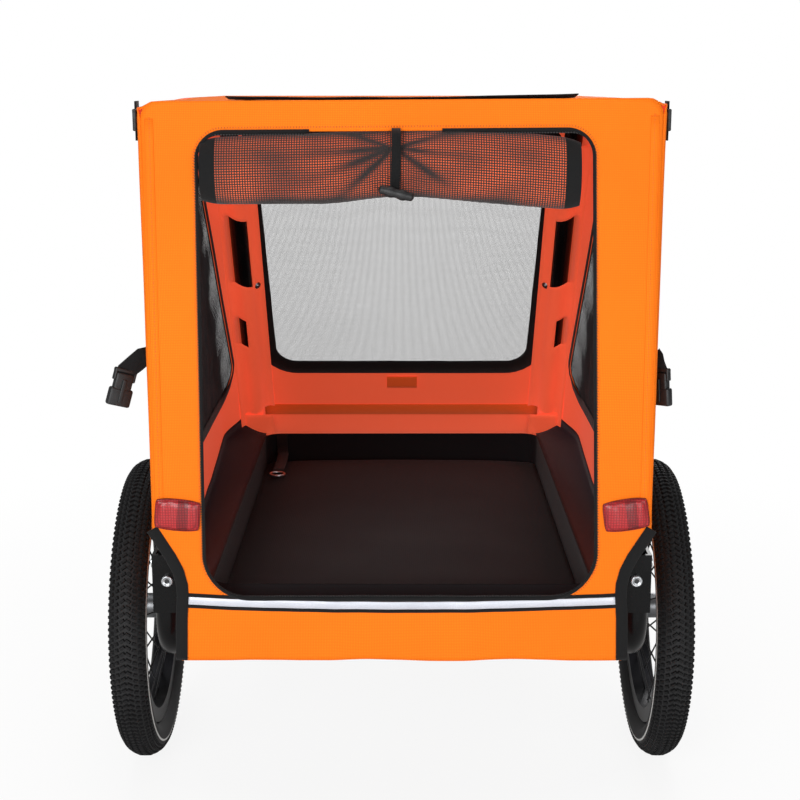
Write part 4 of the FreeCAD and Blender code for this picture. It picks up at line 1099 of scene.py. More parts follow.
# %% Rolled door
ROLL_LOW, ROLL_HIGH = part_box("door_roll")
ROLL_MIDDLE = (ROLL_LOW + ROLL_HIGH) / 2
ROLL_HALF = 199 * MM
ROLL_STEPS, ROLL_SIDES = 220, 96
ROLL_AT = DOOR_MIDDLE - 6 * MM
ROLL_END = 17 * MM
PINCH_AT, PINCH_UP = mm(4, 21)
# The bundle's lower and upper line: share along it, millimetres from its middle height.
ROLL_LOWER = ((-1, -38.5), (-0.3, -38), (-0.13, -33), (0, -30), (0.16, -30.5), (0.5, -37), (1, -45))
ROLL_UPPER = ((-1, 31), (-0.6, 34), (0, 39), (0.35, 39.5), (0.7, 36), (1, 30))
# Folds that run out from the pinch: side, angle in degrees, depth and reach in millimetres.
FOLDS = (
    (-1, 16, 2.5, 62), (-1, -4, 3.5, 92), (-1, -20, 4.0, 76), (-1, -42, 5.0, 74),
    (1, 14, 4.0, 80), (1, -6, 3.0, 66), (1, -34, 4.5, 62),
)


def eased(share, table):
    """A line through the table's points, smoothed over its corners."""
    places, heights = zip(*table)
    return float(np.mean(np.interp(share + np.linspace(-0.09, 0.09, 7), places, heights))) * MM


def roll_point(share, turn):
    """A point on the roll, and its darkness from 0 to 1: stacked net, with painted shade in the fold creases
    and along the top and bottom.
    """
    along = share * ROLL_HALF - PINCH_AT
    lower, upper = eased(share, ROLL_LOWER), eased(share, ROLL_UPPER)
    tall, middle = (upper - lower) / 2, (upper + lower) / 2
    tall *= 1 - 0.12 * (max(0.0, abs(share) - 0.88) / 0.12) ** 2
    deep = 19 * MM - 5 * MM * math.exp(-(along / (26 * MM)) ** 2)
    out, up = math.cos(turn), math.sin(turn)
    rise = middle + up * tall - PINCH_UP
    angle, reach = math.degrees(math.atan2(rise, abs(along))), math.hypot(along, rise)
    sunk, dark = 0.0, 0.0
    for side, lean, depth, length in FOLDS:
        if side * along > 0 and out > 0:
            crease = 1.5 * MM + 0.05 * reach
            aside = reach * math.sin(math.radians(angle - lean))
            strength = math.exp(-(aside / crease) ** 2 - (reach / (length * MM)) ** 2)
            strength *= min(1.0, reach / (10 * MM)) * out ** 0.5
            sunk += depth * MM * strength
            # Darker along the crease of each fold: painted shade in the valley, together with the net
            # stacked there.
            dark += 1.1 * strength
    lump = 1.6 * MM * noise.noise(Vector((share * 6, out * 1.4, up * 1.4)))
    smoke = noise.noise(Vector((along / (46 * MM), up * 1.3, 5.0)))
    # A slow random tone, darker towards the left, and painted shade along the roll's bottom and top.
    dark += 0.22 + 0.6 * smoke - 0.14 * share
    dark += 0.9 * max(0.0, -up - 0.72) / 0.28 + 0.7 * max(0.0, up - 0.82) / 0.18
    back = ROLL_MIDDLE.y - out * (deep * (0.85 + 0.15 * out * out) + lump - sunk)
    place = Vector((ROLL_AT + share * ROLL_HALF, back, ROLL_MIDDLE.z + middle + up * tall))
    return place, clamp(dark)


roll_points, roll_uvs, roll_stacking_and_shade = [], [], []
for step in range(ROLL_STEPS + 1):
    share = step / ROLL_STEPS * 2 - 1
    ring = [roll_point(share, turn) for turn in turns(ROLL_SIDES)]
    runs = [0.0]
    for here, there in zip(ring, ring[1:]):
        runs.append(runs[-1] + (there[0] - here[0]).length)
    for spot, (point, layers) in enumerate(ring):
        roll_points.append(point)
        roll_stacking_and_shade.append(layers)
        roll_uvs.append((share * ROLL_HALF, runs[min(spot, ROLL_SIDES - spot)]))
roll_faces = tube_faces(ROLL_STEPS + 1, ROLL_SIDES) + end_faces(ROLL_STEPS + 1, ROLL_SIDES)
door_bundle = piece_of("door_bundle", roll_points, roll_faces, roll_uvs, [ROLL_NET, BINDING])
outward_faces(door_bundle)
stacking_and_shade_values = door_bundle.data.attributes.new("layers", "FLOAT", "POINT")
stacking_and_shade_values.data.foreach_set("value", roll_stacking_and_shade)
for face in door_bundle.data.polygons:
    if abs(face.center.x - ROLL_AT) > ROLL_HALF - ROLL_END:
        face.material_index = 1
rides(door_bundle, "rear_hoop", "black_net", "door_roll")

# %% [markdown]
# An elastic loop runs from the top of the door over the roll and ends in a turned toggle, which
# hangs at a slant.

# %% Door loop and toggle
LOOP_LOW, LOOP_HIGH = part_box("door_loop")
TOGGLE_LOW, TOGGLE_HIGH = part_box("door_toggle")
TOGGLE_MIDDLE = (TOGGLE_LOW + TOGGLE_HIGH) / 2 + Vector((DOOR_MIDDLE, 0, 0))
TOGGLE_SLANT = math.radians(14)
TOGGLE_HALF, TOGGLE_GIRTH = mm(19, 5.2)
TOGGLE_RINGS, TOGGLE_SIDES = 25, 20
loop_front = LOOP_LOW.y + 0.4 * MM
loop_route = [
    (DOOR_MIDDLE, LOOP_HIGH.y - 6 * MM, LOOP_HIGH.z - 1 * MM),
    (DOOR_MIDDLE, ROLL_MIDDLE.y - 10 * MM, LOOP_HIGH.z - 0.5 * MM),
    (DOOR_MIDDLE, loop_front + 1.5 * MM, LOOP_HIGH.z - 6 * MM),
    (DOOR_MIDDLE, loop_front, LOOP_HIGH.z - 18 * MM),
    (DOOR_MIDDLE - 0.5 * MM, loop_front, LOOP_HIGH.z - 40 * MM),
    (DOOR_MIDDLE - 1 * MM, loop_front, TOGGLE_MIDDLE.z - 2 * MM),
]
elastic = swept(
    "door_elastic", loop_route, flat_profile(*mm(9.5, 1.6)),
    lambda point: (0, -1, 0.6 if point.z > LOOP_HIGH.z - 4 * MM else 0.02), WEBBING,
)
rides(elastic, "rear_hoop", "black_webbing", "door_loop")
toggle_along = Vector((math.cos(TOGGLE_SLANT), 0, -math.sin(TOGGLE_SLANT)))
toggle_up = toggle_along.cross(Vector((0, 1, 0)))
toggle_points = []
for ring in range(TOGGLE_RINGS):
    share = 2 * ring / (TOGGLE_RINGS - 1) - 1
    girth = TOGGLE_GIRTH * (1 - 0.12 * math.cos(math.pi * share * 3))
    girth *= math.sqrt(max(0.02, 1 - abs(share) ** 7))
    spine = TOGGLE_MIDDLE + toggle_along * share * TOGGLE_HALF
    toggle_points += [
        spine + Vector(OUT) * girth * math.cos(turn) + toggle_up * girth * math.sin(turn)
        for turn in turns(TOGGLE_SIDES)
    ]
toggle_faces = tube_faces(TOGGLE_RINGS, TOGGLE_SIDES) + end_faces(TOGGLE_RINGS, TOGGLE_SIDES)
toggle = piece_of("toggle", toggle_points, toggle_faces, [(0, 0)] * len(toggle_points), [NYLON])
rides(outward_faces(toggle), "rear_hoop", "black_plastic", "door_toggle")

# %% [markdown]
# The front of the cover leans back on the front hoop. It holds a large net window with a black
# border, and rides on that hoop. Points on it are given as across and along the lean.

# %% Front cover
FRONT_PIVOT = Vector(JOINTS["front_fold"]["pos_m"])
BAR_LOW, BAR_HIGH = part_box("front_crossbar")
FRONT_TOP = (BAR_LOW + BAR_HIGH) / 2
LEAN = Vector((0, FRONT_TOP.y - FRONT_PIVOT.y, FRONT_TOP.z - FRONT_PIVOT.z))
LEAN_LENGTH = LEAN.length
LEAN.normalize()
LEAN_OUT = Vector((0, LEAN.z, -LEAN.y))
INWARD = -LEAN_OUT
FRONT_FACE, FRONT_HALF = mm(13.2, 246)
FRONT_WINDOW = outline(both_sides([
    mm(199, 151, 36), (206 * MM, LEAN_LENGTH - 50 * MM, 34 * MM),
]))
FRONT_OUTER = outline(both_sides([
    mm(211, -20, 6), mm(211, 25, 5), (FRONT_HALF, 26 * MM, 5 * MM),
    (FRONT_HALF, LEAN_LENGTH + 6 * MM, 12 * MM),
]))


def on_hoop(across, along, out):
    """A point by its places across and along the front and out from the hoop's plane."""
    return FRONT_PIVOT + Vector((across, 0, 0)) + LEAN * along + LEAN_OUT * out


def front_point(across, along, lift=0.0):
    """A point on the front cover; lift is outwards from its outer face."""
    sag = -2.5 * MM * settled(across, along, 0.16, 7.0) ** 2
    inside = max(0.0, 1 - (across / FRONT_HALF) ** 2) * math.sin(math.pi * clamp(along / LEAN_LENGTH))
    return on_hoop(across, along, FRONT_FACE + 1.4 * MM + lift + sag * inside)


front_cover, front_area = ring_sheet(
    "front_cover", FRONT_OUTER, FRONT_WINDOW, (0, LEAN_LENGTH * 0.5), 10, front_point, LEAN_OUT,
    [ORANGE, INSIDE],
)
rides(front_cover, "front_hoop", "orange_cloth", "front_panel")


def grow_outline(line, amount):
    """An outline moved outwards by amount."""
    middle = line.mean(axis=0)
    run = np.roll(line, -1, axis=0) - np.roll(line, 1, axis=0)
    run /= np.maximum(np.linalg.norm(run, axis=1), 1e-9)[:, None]
    out = np.stack([run[:, 1], -run[:, 0]], axis=1)
    flip = np.sign(np.sum(out * (line - middle), axis=1))
    return line + out * flip[:, None] * amount


def window_trim(label, line, to_space, outward, width, spacing, yarn):
    """A net window's black border, on both faces of the cloth, and its net."""
    route = dense(grow_outline(line, width / 2 - 4 * MM), 10 * MM)
    faces = ((0.1 * MM, outward), (-1.7 * MM, -Vector(outward)))
    border = joined(f"{label}_border", [
        swept(
            f"{label}_border_{place}", [to_space(*pair, lift) for pair in route],
            flat_profile(width, 1.2 * MM), way, BINDING, closed=True,
        )
        for place, (lift, way) in enumerate(faces)
    ])
    points, edges = net_lines(
        grow_outline(line, 2 * MM), spacing,
        lambda a, b: to_space(a, b, -0.8 * MM + 1.2 * MM * (1 + settled(a, b * 0.35, 0.035, 11.0))),
    )
    return border, grown(f"{label}_net", points, edges, YARN_TREE, {"Yarn": yarn, "Finish": NET})


front_border, front_net = window_trim(
    "front", FRONT_WINDOW, front_point, LEAN_OUT, *mm(24, 1.75, 0.38),
)
rides(front_border, "front_hoop", "black_webbing")
rides(front_net, "front_hoop", "black_net", "front_mesh")

# %% [markdown]
# Inside, a rust tape crosses the front below the window, and a short hook and loop tab hangs
# from the window's lower edge. Two smaller tabs hold the window's sides.

# %% Tabs and tape on the front
# Tabs: across, along, reach and width.
TABS = (mm(1, 100, 24, 48), mm(-226, 222, 44, 17), mm(222, 226, 40, 17))
TAPE_STEPS, TAB_STEPS = 20, 6


def inside_front(across, along, lift=0.0):
    """A point on the front cover's inner face."""
    return front_point(across, along, -1.9 * MM - lift)


cross_tape = swept(
    "front_tape",
    [inside_front(step / TAPE_STEPS * 221 * MM, 48 * MM) for step in range(-TAPE_STEPS, TAPE_STEPS + 1)],
    flat_profile(*mm(24, 1.2)), INWARD, RUST_TAPE,
)
front_tabs = joined("front_tabs", [
    swept(
        f"front_tab_{place}",
        [inside_front(across, along + s * reach / TAB_STEPS, 1.2 * MM) for s in range(TAB_STEPS + 1)],
        flat_profile(width, 1.6 * MM), INWARD, RUST_TAPE,
    )
    for place, (across, along, reach, width) in enumerate(TABS)
])
rides(cross_tape, "front_hoop", "black_webbing")
rides(front_tabs, "front_hoop", "black_webbing")

# %% [markdown]
# Each strut of the front hoop lies behind a web of the inner cloth, sewn to the front and to the
# side wall. Two slots in the web show the dark tube, a rivet holds it, and a cloth boot closes
# the corner at the strut's foot. The web is open there too, where it would catch in folding.

# %% Strut webs
WEB_START, WEB_ROW = mm(38, 5)
WEB_ROWS, WEB_SLANT = 112, 0.55
# The web's section: across, and out from the strut's middle.
WEB_SECTION = [
    mm(*pair) for pair in (
        (205, 11), (212, 8.5), (217, 3.5), (220, -2.5), (223, -8), (228, -12.4), (234, -14.2),
        (240, -13.4), (245, -11.6), (250, -14), (253.5, -19), (256, -25),
    )
]
# Openings in the web: from and to along the strut, and the columns of the section they span.
WEB_SLOTS = ((mm(352, 478), (3, 9)), (mm(226, 284), (6, 9)), (mm(0, 95), (0, 3)))
BOOT_LOW, BOOT_SIZE, BOOT_IN, BOOT_OUT = mm(16, 48, 206, -15.8)
BOOT_STEPS = 6
# The rivet's radius and height.
RIVET = [mm(*pair) for pair in ((5.4, -1), (5.4, 0.5), (3.4, 0.8), (2.6, 2.2), (0.6, 2.8))]
web_runs = [0.0]
for here, there in zip(WEB_SECTION, WEB_SECTION[1:]):
    web_runs.append(web_runs[-1] + math.dist(here, there))


def web_open(row, column):
    """Whether a face of the web lies in one of its openings."""
    height = WEB_START + WEB_ROW * (row + 0.5)
    return any(
        low < height < high and first <= column < last for (low, high), (first, last) in WEB_SLOTS
    )


for side, sign in SIDES:
    web_points, web_uvs, web_faces = [], [], []
    for row in range(WEB_ROWS + 1):
        for run, (across, out) in zip(web_runs, WEB_SECTION):
            along = WEB_START + WEB_ROW * row + WEB_SLANT * (run - web_runs[-1]) * min(1.0, row / 12)
            crease = 0.8 * MM * settled(run, along, 0.03, 12.0 + sign)
            web_points.append(on_hoop(sign * across, along, out - abs(crease)))
            web_uvs.append((run, along))
    columns = len(WEB_SECTION)
    for row in range(WEB_ROWS):
        for column in range(columns - 1):
            if not web_open(row, column):
                corner = row * columns + column
                web_faces.append((corner, corner + 1, corner + columns + 1, corner + columns))
    web, web_area = sheet_of(
        f"strut_web_{side}", web_points, web_faces, web_uvs, [INSIDE], INWARD, 1 * MM,
    )
    boot_places = [BOOT_SIZE * step / BOOT_STEPS for step in range(BOOT_STEPS + 1)]
    boot_points = [
        on_hoop(sign * (BOOT_IN + across), BOOT_LOW + along, BOOT_OUT)
        for across in boot_places for along in boot_places
    ]
    boot, _ = sheet_of(
        f"strut_boot_{side}", boot_points, grid_faces(BOOT_STEPS, BOOT_STEPS),
        [(point.x, point.z) for point in boot_points], [INSIDE], INWARD, 1 * MM,
    )
    rivet = turned(
        f"web_rivet_{side}", RIVET, on_hoop(sign * 214.5 * MM, 322 * MM, 5.2 * MM),
        on_hoop(-sign, 0, -1.2) - on_hoop(0, 0, 0), HUB_METAL,
    )
    rides(web, "front_hoop", "orange_cloth")
    rides(boot, "front_hoop", "orange_cloth")
    rides(rivet, "front_hoop", "zinc_steel")

# %% [markdown]
# The side walls hang between the hoops. Near the front edge they draw in to meet the narrower
# front. When the trailer folds they collapse; here they are fixed to the chassis as they stand. A
# piped seam covers the join between each wall and the front.

# %% Side walls
WALL_LOW, WALL_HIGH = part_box("side_wall_right")
WALL_FACE = WALL_HIGH.x
NOSE = FRONT_PIVOT + LEAN * 50 * MM + LEAN_OUT * FRONT_FACE
WALL_TOP = FRONT_PIVOT + LEAN * LEAN_LENGTH + LEAN_OUT * FRONT_FACE
EDGE_TURN = 105 * MM
NOTCH_BACK, NOTCH_TOP = WALL_LOW.y + 56 * MM, 431 * MM
WALL_REAR = WALL_LOW.y - 1.2 * MM
NOSE_TOP = NOSE.y + (WALL_TOP.y - NOSE.y) * (WALL_HIGH.z - NOSE.z) / (WALL_TOP.z - NOSE.z)
WINDOW_REAR, WINDOW_LOW, WINDOW_HIGH = WALL_LOW.y + 58 * MM, 432 * MM, WALL_HIGH.z - 50 * MM
SINK_REACH = 400 * MM
PIPING_STEPS = 40


def wall_point(sign):
    """The function that sets a side wall's flat points into space."""
    def to_space(along, up, lift=0.0):
        from_edge = -((along - NOSE.y) * LEAN_OUT.y + (up - NOSE.z) * LEAN_OUT.z)
        rear = max(0.0, 1 - (along - WALL_LOW.y) / (10 * MM))
        turn_in = 28 * MM * smooth(1 - from_edge / EDGE_TURN) + 3.6 * MM * rear * rear
        sink = top_drop(sign * WALL_FACE, up) * max(0.0, 1 - (along - WALL_LOW.y) / SINK_REACH)
        belly = max(0.0, 1 - abs(up - 0.37) / 0.08) * 2 * MM
        wave = 1.2 * MM * (settled(along, up, 0.13, 3.0 + sign) + 1) / 2
        return Vector((sign * (WALL_FACE + wave + belly - turn_in + lift), along, up - sink))
    return to_space


WALL_OUTER = outline([
    (NOTCH_BACK, WALL_LOW.z, 5 * MM), (NOSE.y, WALL_LOW.z, 8 * MM), (NOSE.y, NOSE.z, 14 * MM),
    (NOSE_TOP, WALL_HIGH.z, 14 * MM), (WALL_REAR, WALL_HIGH.z, 14 * MM), (WALL_REAR, NOTCH_TOP, 4 * MM),
    (NOTCH_BACK, NOTCH_TOP, 5 * MM),
])
WALL_WINDOW = outline([
    (along, up, 34 * MM) for along, up in (
        (WINDOW_REAR, WINDOW_LOW), (NOSE.y - 78 * MM, WINDOW_LOW), (NOSE_TOP - 66 * MM, WINDOW_HIGH),
        (WINDOW_REAR, WINDOW_HIGH),
    )
])


def folds_down(piece, slot, *nodes):
    """A piece of the body's cloth, fixed to the chassis with a mesh of its own."""
    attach(piece, "chassis")
    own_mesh(piece)
    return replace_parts(piece, *nodes) if nodes else piece


for side, sign in SIDES:
    to_space = wall_point(sign)
    outward = Vector((sign, 0, 0))
    wall, wall_area = ring_sheet(
        f"wall_{side}", WALL_OUTER, WALL_WINDOW, WALL_WINDOW.mean(axis=0), 10, to_space, outward,
        [ORANGE, INSIDE],
    )
    border, net = window_trim(f"wall_{side}", WALL_WINDOW, to_space, outward, *mm(16, 1.9, 0.55))
    folds_down(wall, "orange_cloth", f"side_wall_{side}", *(["front_edges"] if sign > 0 else []))
    folds_down(border, "black_webbing")
    folds_down(net, "black_net", f"side_mesh_{side}")
    piping_route = []
    for step in range(PIPING_STEPS + 1):
        spot = NOSE.lerp(WALL_TOP, step / PIPING_STEPS)
        edge = to_space(spot.y, min(spot.z, WALL_HIGH.z), -1.2 * MM)
        piping_route.append((edge.x, spot.y, spot.z))
    piping = swept(f"seam_piping_{side}", piping_route, round_profile(3.6 * MM), outward, ORANGE)
    rides(piping, "front_hoop", "orange_cloth")

# %% [markdown]
# The roof is a shallow sheet over the two crossbars, with a black weather flap lying on it.

# %% Roof
ROOF_LOW, ROOF_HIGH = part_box("roof_panel")
FLAP_LOW, FLAP_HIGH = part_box("roof_flap")
ROOF_EDGE = 14 * MM


def roof_point(across, along):
    """The roof dips between the crossbars, rolls over at its sides and narrows with the walls."""
    reach = wall_point(1)(along, WALL_HIGH.z).x + 0.8 * MM
    run = (along - ROOF_LOW.y) / (ROOF_HIGH.y - ROOF_LOW.y)
    edge = max(0.0, abs(across) - (ROOF_HIGH.x - ROOF_EDGE)) / ROOF_EDGE
    dip = 3 * MM * math.sin(math.pi * run) ** 2 * (1 - (across / ROOF_HIGH.x) ** 2)
    slope = 5.4 * MM * min(1.0, run * 1.5)
    sink = top_drop(across, COVER_TOP) * max(0.0, 1 - (along - ROOF_LOW.y) / SINK_REACH)
    height = COVER_TOP - 0.4 * MM - slope - sink - 7 * MM * edge ** 2
    drawn_in = across * min(1.0, reach / ROOF_HIGH.x)
    return Vector((drawn_in, along, height - dip * (0.7 + 0.3 * settled(across, along))))


def flap_point(across, along):
    """The flap lies on the roof, thicker at the ends of its rolled rear edge."""
    run = (along - FLAP_LOW.y) / (FLAP_HIGH.y - FLAP_LOW.y)
    ends = 0.25 + 0.75 * (abs(across) / FLAP_HIGH.x) ** 2
    rise = 1.6 * MM + 3 * MM * math.exp(-(run / 0.12) ** 2) * ends
    rise += 0.6 * MM * (1 + settled(across, along, 0.05))
    return roof_point(across, along) + Vector((0, 0, rise))


roof, _ = grid_sheet("roof", ROOF_LOW, ROOF_HIGH, 40, 30, roof_point, [ORANGE, INSIDE], 1.5 * MM)
folds_down(roof, "orange_cloth", "roof_panel")
flap, _ = grid_sheet("flap", FLAP_LOW, FLAP_HIGH, 50, 30, flap_point, [BLACK_CLOTH], 1.4 * MM)
folds_down(flap, "black_webbing", "roof_flap")

# %% [markdown]
# The floor is a tub of black cloth with soft corners.

# %% Floor tub
TUB_LOW, TUB_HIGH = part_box("floor_tub")
TUB_TALL = TUB_HIGH.z - TUB_LOW.z
TUB_CORNER = 26 * MM
# Share of the height, and how far the side stands in there, in millimetres.
TUB_LEVELS = ((0.0, 16), (0.02, 6), (0.1, 1.5), (0.35, 0.5), (0.7, 0.0), (0.97, 0.0), (1.0, 0.6))
tub_points, tub_uvs = [], []
for share, inset in TUB_LEVELS:
    left, right = TUB_LOW.x + inset * MM, TUB_HIGH.x - inset * MM
    rear, front = TUB_LOW.y + inset * MM, TUB_HIGH.y - inset * MM
    tub_line = outline([
        (across, along, TUB_CORNER)
        for across, along in ((right, rear), (right, front), (left, front), (left, rear))
    ])
    for across, along in tub_line:
        sag = 1.5 * MM * share * settled(across, along, 0.12, 5.0)
        tub_points.append((across, along, TUB_LOW.z + TUB_TALL * share + sag))
        tub_uvs.append((across + along, share * TUB_TALL))
size = len(tub_line)
tub_faces = tube_faces(len(TUB_LEVELS), size) + [tuple(reversed(range(size)))]
tub = outward_faces(piece_of("tub", tub_points, tub_faces, tub_uvs, [BLACK_CLOTH]))
thickened(face_towards(tub, (0, 0, -1)), 1.8 * MM)
rides(tub, "chassis", "black_cloth", "floor_tub")

# %% [markdown]
# Black gussets close the gap between the tub's sides and the walls, so nothing of the ground shows
# inside. They are loose cloth, which sinks as the trailer folds; here they are fixed to the chassis.

# %% Gussets beside the tub
TURN_SHARE = 0.7
BEHIND_WALL = -3.4 * MM


def gusset_point(sign):
    """From the tub's top edge out to the wall, then up along the wall's inner face."""
    on_wall = wall_point(sign)

    def to_space(share, along):
        run = (along - NOTCH_BACK) / (NOSE.y - NOTCH_BACK)
        meet = 303 * MM + 66 * MM * run ** 1.9
        if share > TURN_SHARE:
            rise = 16 * MM * (share - TURN_SHARE) / (1 - TURN_SHARE)
            return on_wall(along, meet + rise + 1.5 * MM * settled(0, along, 0.05), BEHIND_WALL)
        out = share / TURN_SHARE
        inner = Vector((sign * (TUB_HIGH.x - 1 * MM), along, TUB_HIGH.z - 1.5 * MM))
        soft = -4 * MM * math.sin(math.pi * out)
        soft += 1.5 * MM * settled(share, along, 0.1, 8.0) * (1 - out) * out
        return inner.lerp(on_wall(along, meet, BEHIND_WALL), out) + Vector((0, 0, soft))
    return to_space


for side, sign in SIDES:
    gusset, gusset_area = grid_sheet(
        f"gusset_{side}", (0, NOTCH_BACK + 2 * MM), (1, NOSE.y - 4 * MM), 10, 60, gusset_point(sign),
        [BORDER_CLOTH], 1.2 * MM,
    )
    folds_down(gusset, "black_cloth")

# %% [markdown]
# A thin padded mat lies in the tub, a little higher in its middle than at its sewn edges.

# %% Floor mat
MAT_LOW, MAT_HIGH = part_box("floor_mat")
MAT_COLUMNS, MAT_ROWS = 56, 70
MAT_CROWN = 4 * MM
MAT_TALL = MAT_HIGH.z - MAT_CROWN - MAT_LOW.z
mat_points, mat_faces = [], []
for layer in (0, 1):
    mat_faces += grid_faces(MAT_COLUMNS, MAT_ROWS, len(mat_points))
    for column in range(MAT_COLUMNS + 1):
        for row in range(MAT_ROWS + 1):
            across, along = column / MAT_COLUMNS * 2 - 1, row / MAT_ROWS * 2 - 1
            soft = (1 - abs(across) ** 8) * (1 - abs(along) ** 14)
            x = (MAT_LOW.x + MAT_HIGH.x) / 2 + across * (MAT_HIGH.x - MAT_LOW.x) / 2
            y = (MAT_LOW.y + MAT_HIGH.y) / 2 + along * (MAT_HIGH.y - MAT_LOW.y) / 2
            top = MAT_TALL * (0.45 + 0.55 * soft) + MAT_CROWN * soft * (1 - across * across)
            top += 1.1 * MM * soft * settled(x, y, 0.09, 1.0)
            mat_points.append((x, y, MAT_LOW.z + (top if layer else (1 - soft) * MAT_TALL * 0.25)))
mat_step, mat_count = MAT_ROWS + 1, len(mat_points) // 2
rim = [c * mat_step for c in range(MAT_COLUMNS)]
rim += [MAT_COLUMNS * mat_step + r for r in range(MAT_ROWS)]
rim += [c * mat_step + MAT_ROWS for c in range(MAT_COLUMNS, 0, -1)] + list(range(MAT_ROWS, 0, -1))
mat_faces += [
    (here, there, there + mat_count, here + mat_count) for here, there in zip(rim, rim[1:] + rim[:1])
]
mat = piece_of("mat", mat_points, mat_faces, [point[:2] for point in mat_points], [MAT_CLOTH])
rides(outward_faces(mat), "chassis", "black_cloth", "floor_mat")

# %% [markdown]
# A short leash strap is sewn to the front of the tub and lies on the mat, with a steel ring at
# its end.

# %% Leash
LEASH_LOW, LEASH_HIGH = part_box("leash_strap")
RING_LOW, RING_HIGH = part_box("leash_ring")
RING_WIRE, RING_LIFT = mm(1.9, 1.6)
leash_x = (LEASH_LOW.x + LEASH_HIGH.x) / 2
leash_route = [
    (leash_x - 3 * MM, LEASH_HIGH.y - 1 * MM, LEASH_HIGH.z),
    (leash_x - 3 * MM, LEASH_HIGH.y - 3 * MM, LEASH_LOW.z + 16 * MM),
    (leash_x - 2 * MM, LEASH_HIGH.y - 9 * MM, LEASH_LOW.z + 6 * MM),
    (leash_x, LEASH_HIGH.y - 22 * MM, LEASH_LOW.z + 3.4 * MM),
    (leash_x + 1 * MM, LEASH_HIGH.y - 60 * MM, LEASH_LOW.z + 3 * MM),
    (leash_x, LEASH_LOW.y + 20 * MM, LEASH_LOW.z + 3 * MM),
    (leash_x, LEASH_LOW.y - 2 * MM, LEASH_LOW.z + 3 * MM),
]
leash = swept(
    "leash", leash_route, flat_profile(*mm(17, 2)),
    lambda point: (0, -1, 0.15) if point.z > LEASH_LOW.z + 12 * MM else (0, -0.25, 1), WEBBING,
)
rides(leash, "chassis", "black_webbing", "leash_strap")
ring_middle = (RING_LOW + RING_HIGH) / 2 + Vector((0, 0, RING_LIFT))
ring_radius = (RING_HIGH.x - RING_LOW.x) / 2 - 2 * MM
ring_route = [
    ring_middle + Vector((math.cos(turn), math.sin(turn), 0)) * ring_radius for turn in turns(40)
]
steel_ring = swept("steel_ring", ring_route, round_profile(RING_WIRE), (0, 0, 1), ZINC, closed=True)
rides(steel_ring, "chassis", "zinc_steel", "leash_ring")

# %% [markdown]
# Side release buckles hang from short straps at the rear edges of the body, and ladder locks
# sit on the straps at the top corners. They are moulded, so every edge is round.

# %% Buckles and strap locks
LOCK_LOW, LOCK_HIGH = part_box("strap_locks")
STRAP_LOW, STRAP_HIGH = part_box("side_straps")
strap_y = (STRAP_LOW.y + STRAP_HIGH.y) / 2
# The female half: a shell with two open sides, a bar for the strap and a raised rib. Each block
# has its size, its offset from the middle and its edge radius, in millimetres.
BUCKLE_BLOCKS = (
    ((27, 9, 20), (0, 0, -9), 2.4), ((21, 8, 20), (0, 0, 8), 2), ((27, 6, 5), (0, 0, 20.5), 1.8),
    ((3, 6, 12), (-11.5, 0, 15), 1.2), ((3, 6, 12), (11.5, 0, 15), 1.2), ((5, 2, 26), (0, -4.8, -2), 0.8),
)
# Side, place across and behind the strap's root, slant and swing in degrees, and where across the
# short strap starts and where it heads; lengths in millimetres.
BUCKLES = (
    ("left", -308, -8, 18, 34, (-277.5, -296)),
    ("right", 285, -4, -5, -52, (277.5, 281)),
)
BUCKLE_UP = 584 * MM
for side, across, behind, slant, swing, ends in BUCKLES:
    place = Vector((across * MM, strap_y + behind * MM, BUCKLE_UP))
    turn = Matrix.Rotation(math.radians(swing), 3, "Z") @ Matrix.Rotation(math.radians(slant), 3, "Y")
    shell = joined(f"buckle_{side}", [
        eased_box(
            f"buckle_{side}_{count}", mm(*size), place + turn @ Vector(mm(*offset)), NYLON, ease * MM, turn,
        )
        for count, (size, offset, ease) in enumerate(BUCKLE_BLOCKS)
    ])
    top = place + turn @ Vector((0, 0, 21 * MM))
    root, tip = mm(*ends)
    strap_route = [
        Vector((root + (tip - root) * share, strap_y + shift * MM, up * MM))
        for share, shift, up in ((0, 0, 619), (0.4, -1, 618), (0.8, -3, 612))
    ]
    strap_route += [top, top + turn @ Vector(mm(0, 1.5, -8))]
    short_strap = swept(
        f"short_strap_{side}", strap_route, flat_profile(*mm(22, 1.8)), turn @ Vector((0, -1, 0.2)), WEBBING,
    )
    rides(shell, "rear_hoop", "black_plastic", *(["side_buckles"] if side == "left" else []))
    rides(short_strap, "rear_hoop", "black_webbing", *(["side_straps"] if side == "left" else []))

lock_y, lock_z = (LOCK_LOW.y + LOCK_HIGH.y) / 2, (LOCK_LOW.z + LOCK_HIGH.z) / 2 + 7 * MM
# A lock's bars: size, then offset along and up, in millimetres.
LOCK_BARS = (
    ((4.5, 27, 4), 0, -10), ((4.5, 27, 4), 0, -1), ((4.5, 27, 4), 0, 9),
    ((4.5, 3.4, 22), -11.5, 0), ((4.5, 3.4, 22), 11.5, 0),
)
for side, sign in SIDES:
    out = sign * (WALL_FACE + 4.5 * MM)
    ladder = joined(f"ladder_lock_{side}", [
        eased_box(
            f"lock_{side}_{count}", mm(*size), (out, lock_y + along * MM, lock_z + up * MM), NYLON, 1.4 * MM,
        )
        for count, (size, along, up) in enumerate(LOCK_BARS)
    ])
    strap = swept(
        f"corner_strap_{side}",
        [(out - sign * 1.6 * MM, lock_y, lock_z + rise) for rise in mm(19, 8, 0, -9, -22)],
        flat_profile(*mm(20, 1.8)), (sign, 0, 0), WEBBING,
    )
    rides(ladder, "rear_hoop", "black_plastic", *(["strap_locks"] if side == "left" else []))
    rides(strap, "rear_hoop", "black_webbing")

# %% [markdown]
# A tyre is a casing with a knobbly tread: a double row of slanted blocks in the middle that
# make chevrons, and three more rows of knobs on each side, out to the sidewall.

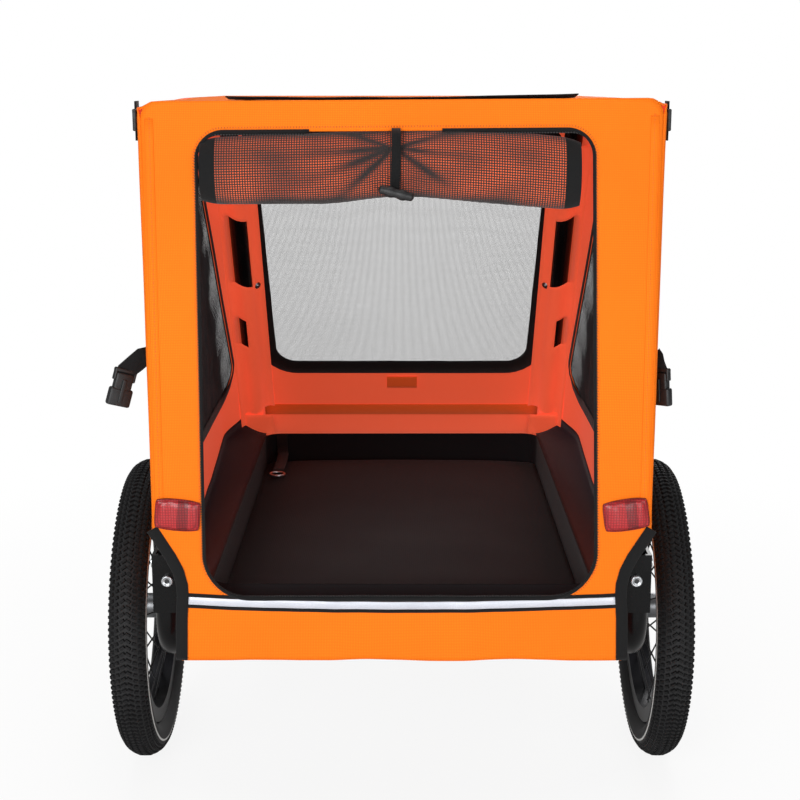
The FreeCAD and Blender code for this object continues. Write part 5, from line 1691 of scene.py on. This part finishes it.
# %% Tyres
TYRE_MIDDLE, TYRE_TALL, TYRE_HALF, BEAD = mm(178, 21.6, 24, 158.5)
WHITE_LINE = mm(180.4, 183)
KNOBS = 150
TYRE_STEPS, TYRE_SIDES = 128, 36
# A row of knobs, the same on both sides: distance from the middle, shift in steps, radius, a
# knob's size, its slant in degrees, and how far inside the row the point lies that it faces away
# from; lengths in millimetres.
TREAD_ROWS = (
    ("mid", 3.6, 0.0, 199.2, (4.0, 7.4, 3.0), 34, 10), ("side", 10.5, 0.5, 197.0, (4.6, 5.2, 3.0), 22, 90),
    ("edge", 16.5, 0.0, 193.0, (5.2, 5.0, 3.0), 8, 190), ("rim", 20.6, 0.5, 188.4, (4.6, 3.6, 2.4), 0, 290),
)
for side, _ in SIDES:
    centre = Vector(JOINTS[f"wheel_{side}_spin"]["pos_m"])
    casing_points = []
    for turn in turns(TYRE_STEPS):
        for around in turns(TYRE_SIDES):
            reach = max(BEAD, TYRE_MIDDLE + TYRE_TALL * math.cos(around))
            spot = (TYRE_HALF * math.sin(around), reach * math.cos(turn), reach * math.sin(turn))
            casing_points.append(centre + Vector(spot))
    casing = outward_faces(piece_of(
        f"tyre_casing_{side}", casing_points, tube_faces(TYRE_STEPS, TYRE_SIDES, closed=True),
        [(0, 0)] * len(casing_points), [sidewall(side, centre, *WHITE_LINE)],
    ))
    rows = []
    for label, across, shift, reach, size, slant, lean in TREAD_ROWS:
        shifted = [2 * math.pi * (step + shift * 2) / (KNOBS * 2) for step in range(KNOBS * 2)]
        for row_side, way in SIDES:
            line = [
                centre + Vector(mm(way * across, reach * math.cos(turn), reach * math.sin(turn)))
                for turn in shifted
            ]
            rows.append(row_of(
                f"knobs_{side}_{label}_{row_side}", line, KNOB_BLOCK, 2 * math.pi * reach * MM / KNOBS,
                mm(*size), (0, 0, 1), TREAD, closed=True,
                centre=centre + Vector((way * (across - lean) * MM, 0, 0)), turn=math.radians(-way * slant),
            ))
    tread = joined(f"tyre_tread_{side}", rows)
    rides(casing, f"wheel_{side}", "tyre_rubber", f"tyre_{side}")
    rides(tread, f"wheel_{side}", "tyre_rubber")

# %% [markdown]
# The helper blocks go.

# %% Closing
for block in (STITCH_BLOCK, KNOB_BLOCK):
    bpy.data.objects.remove(block)
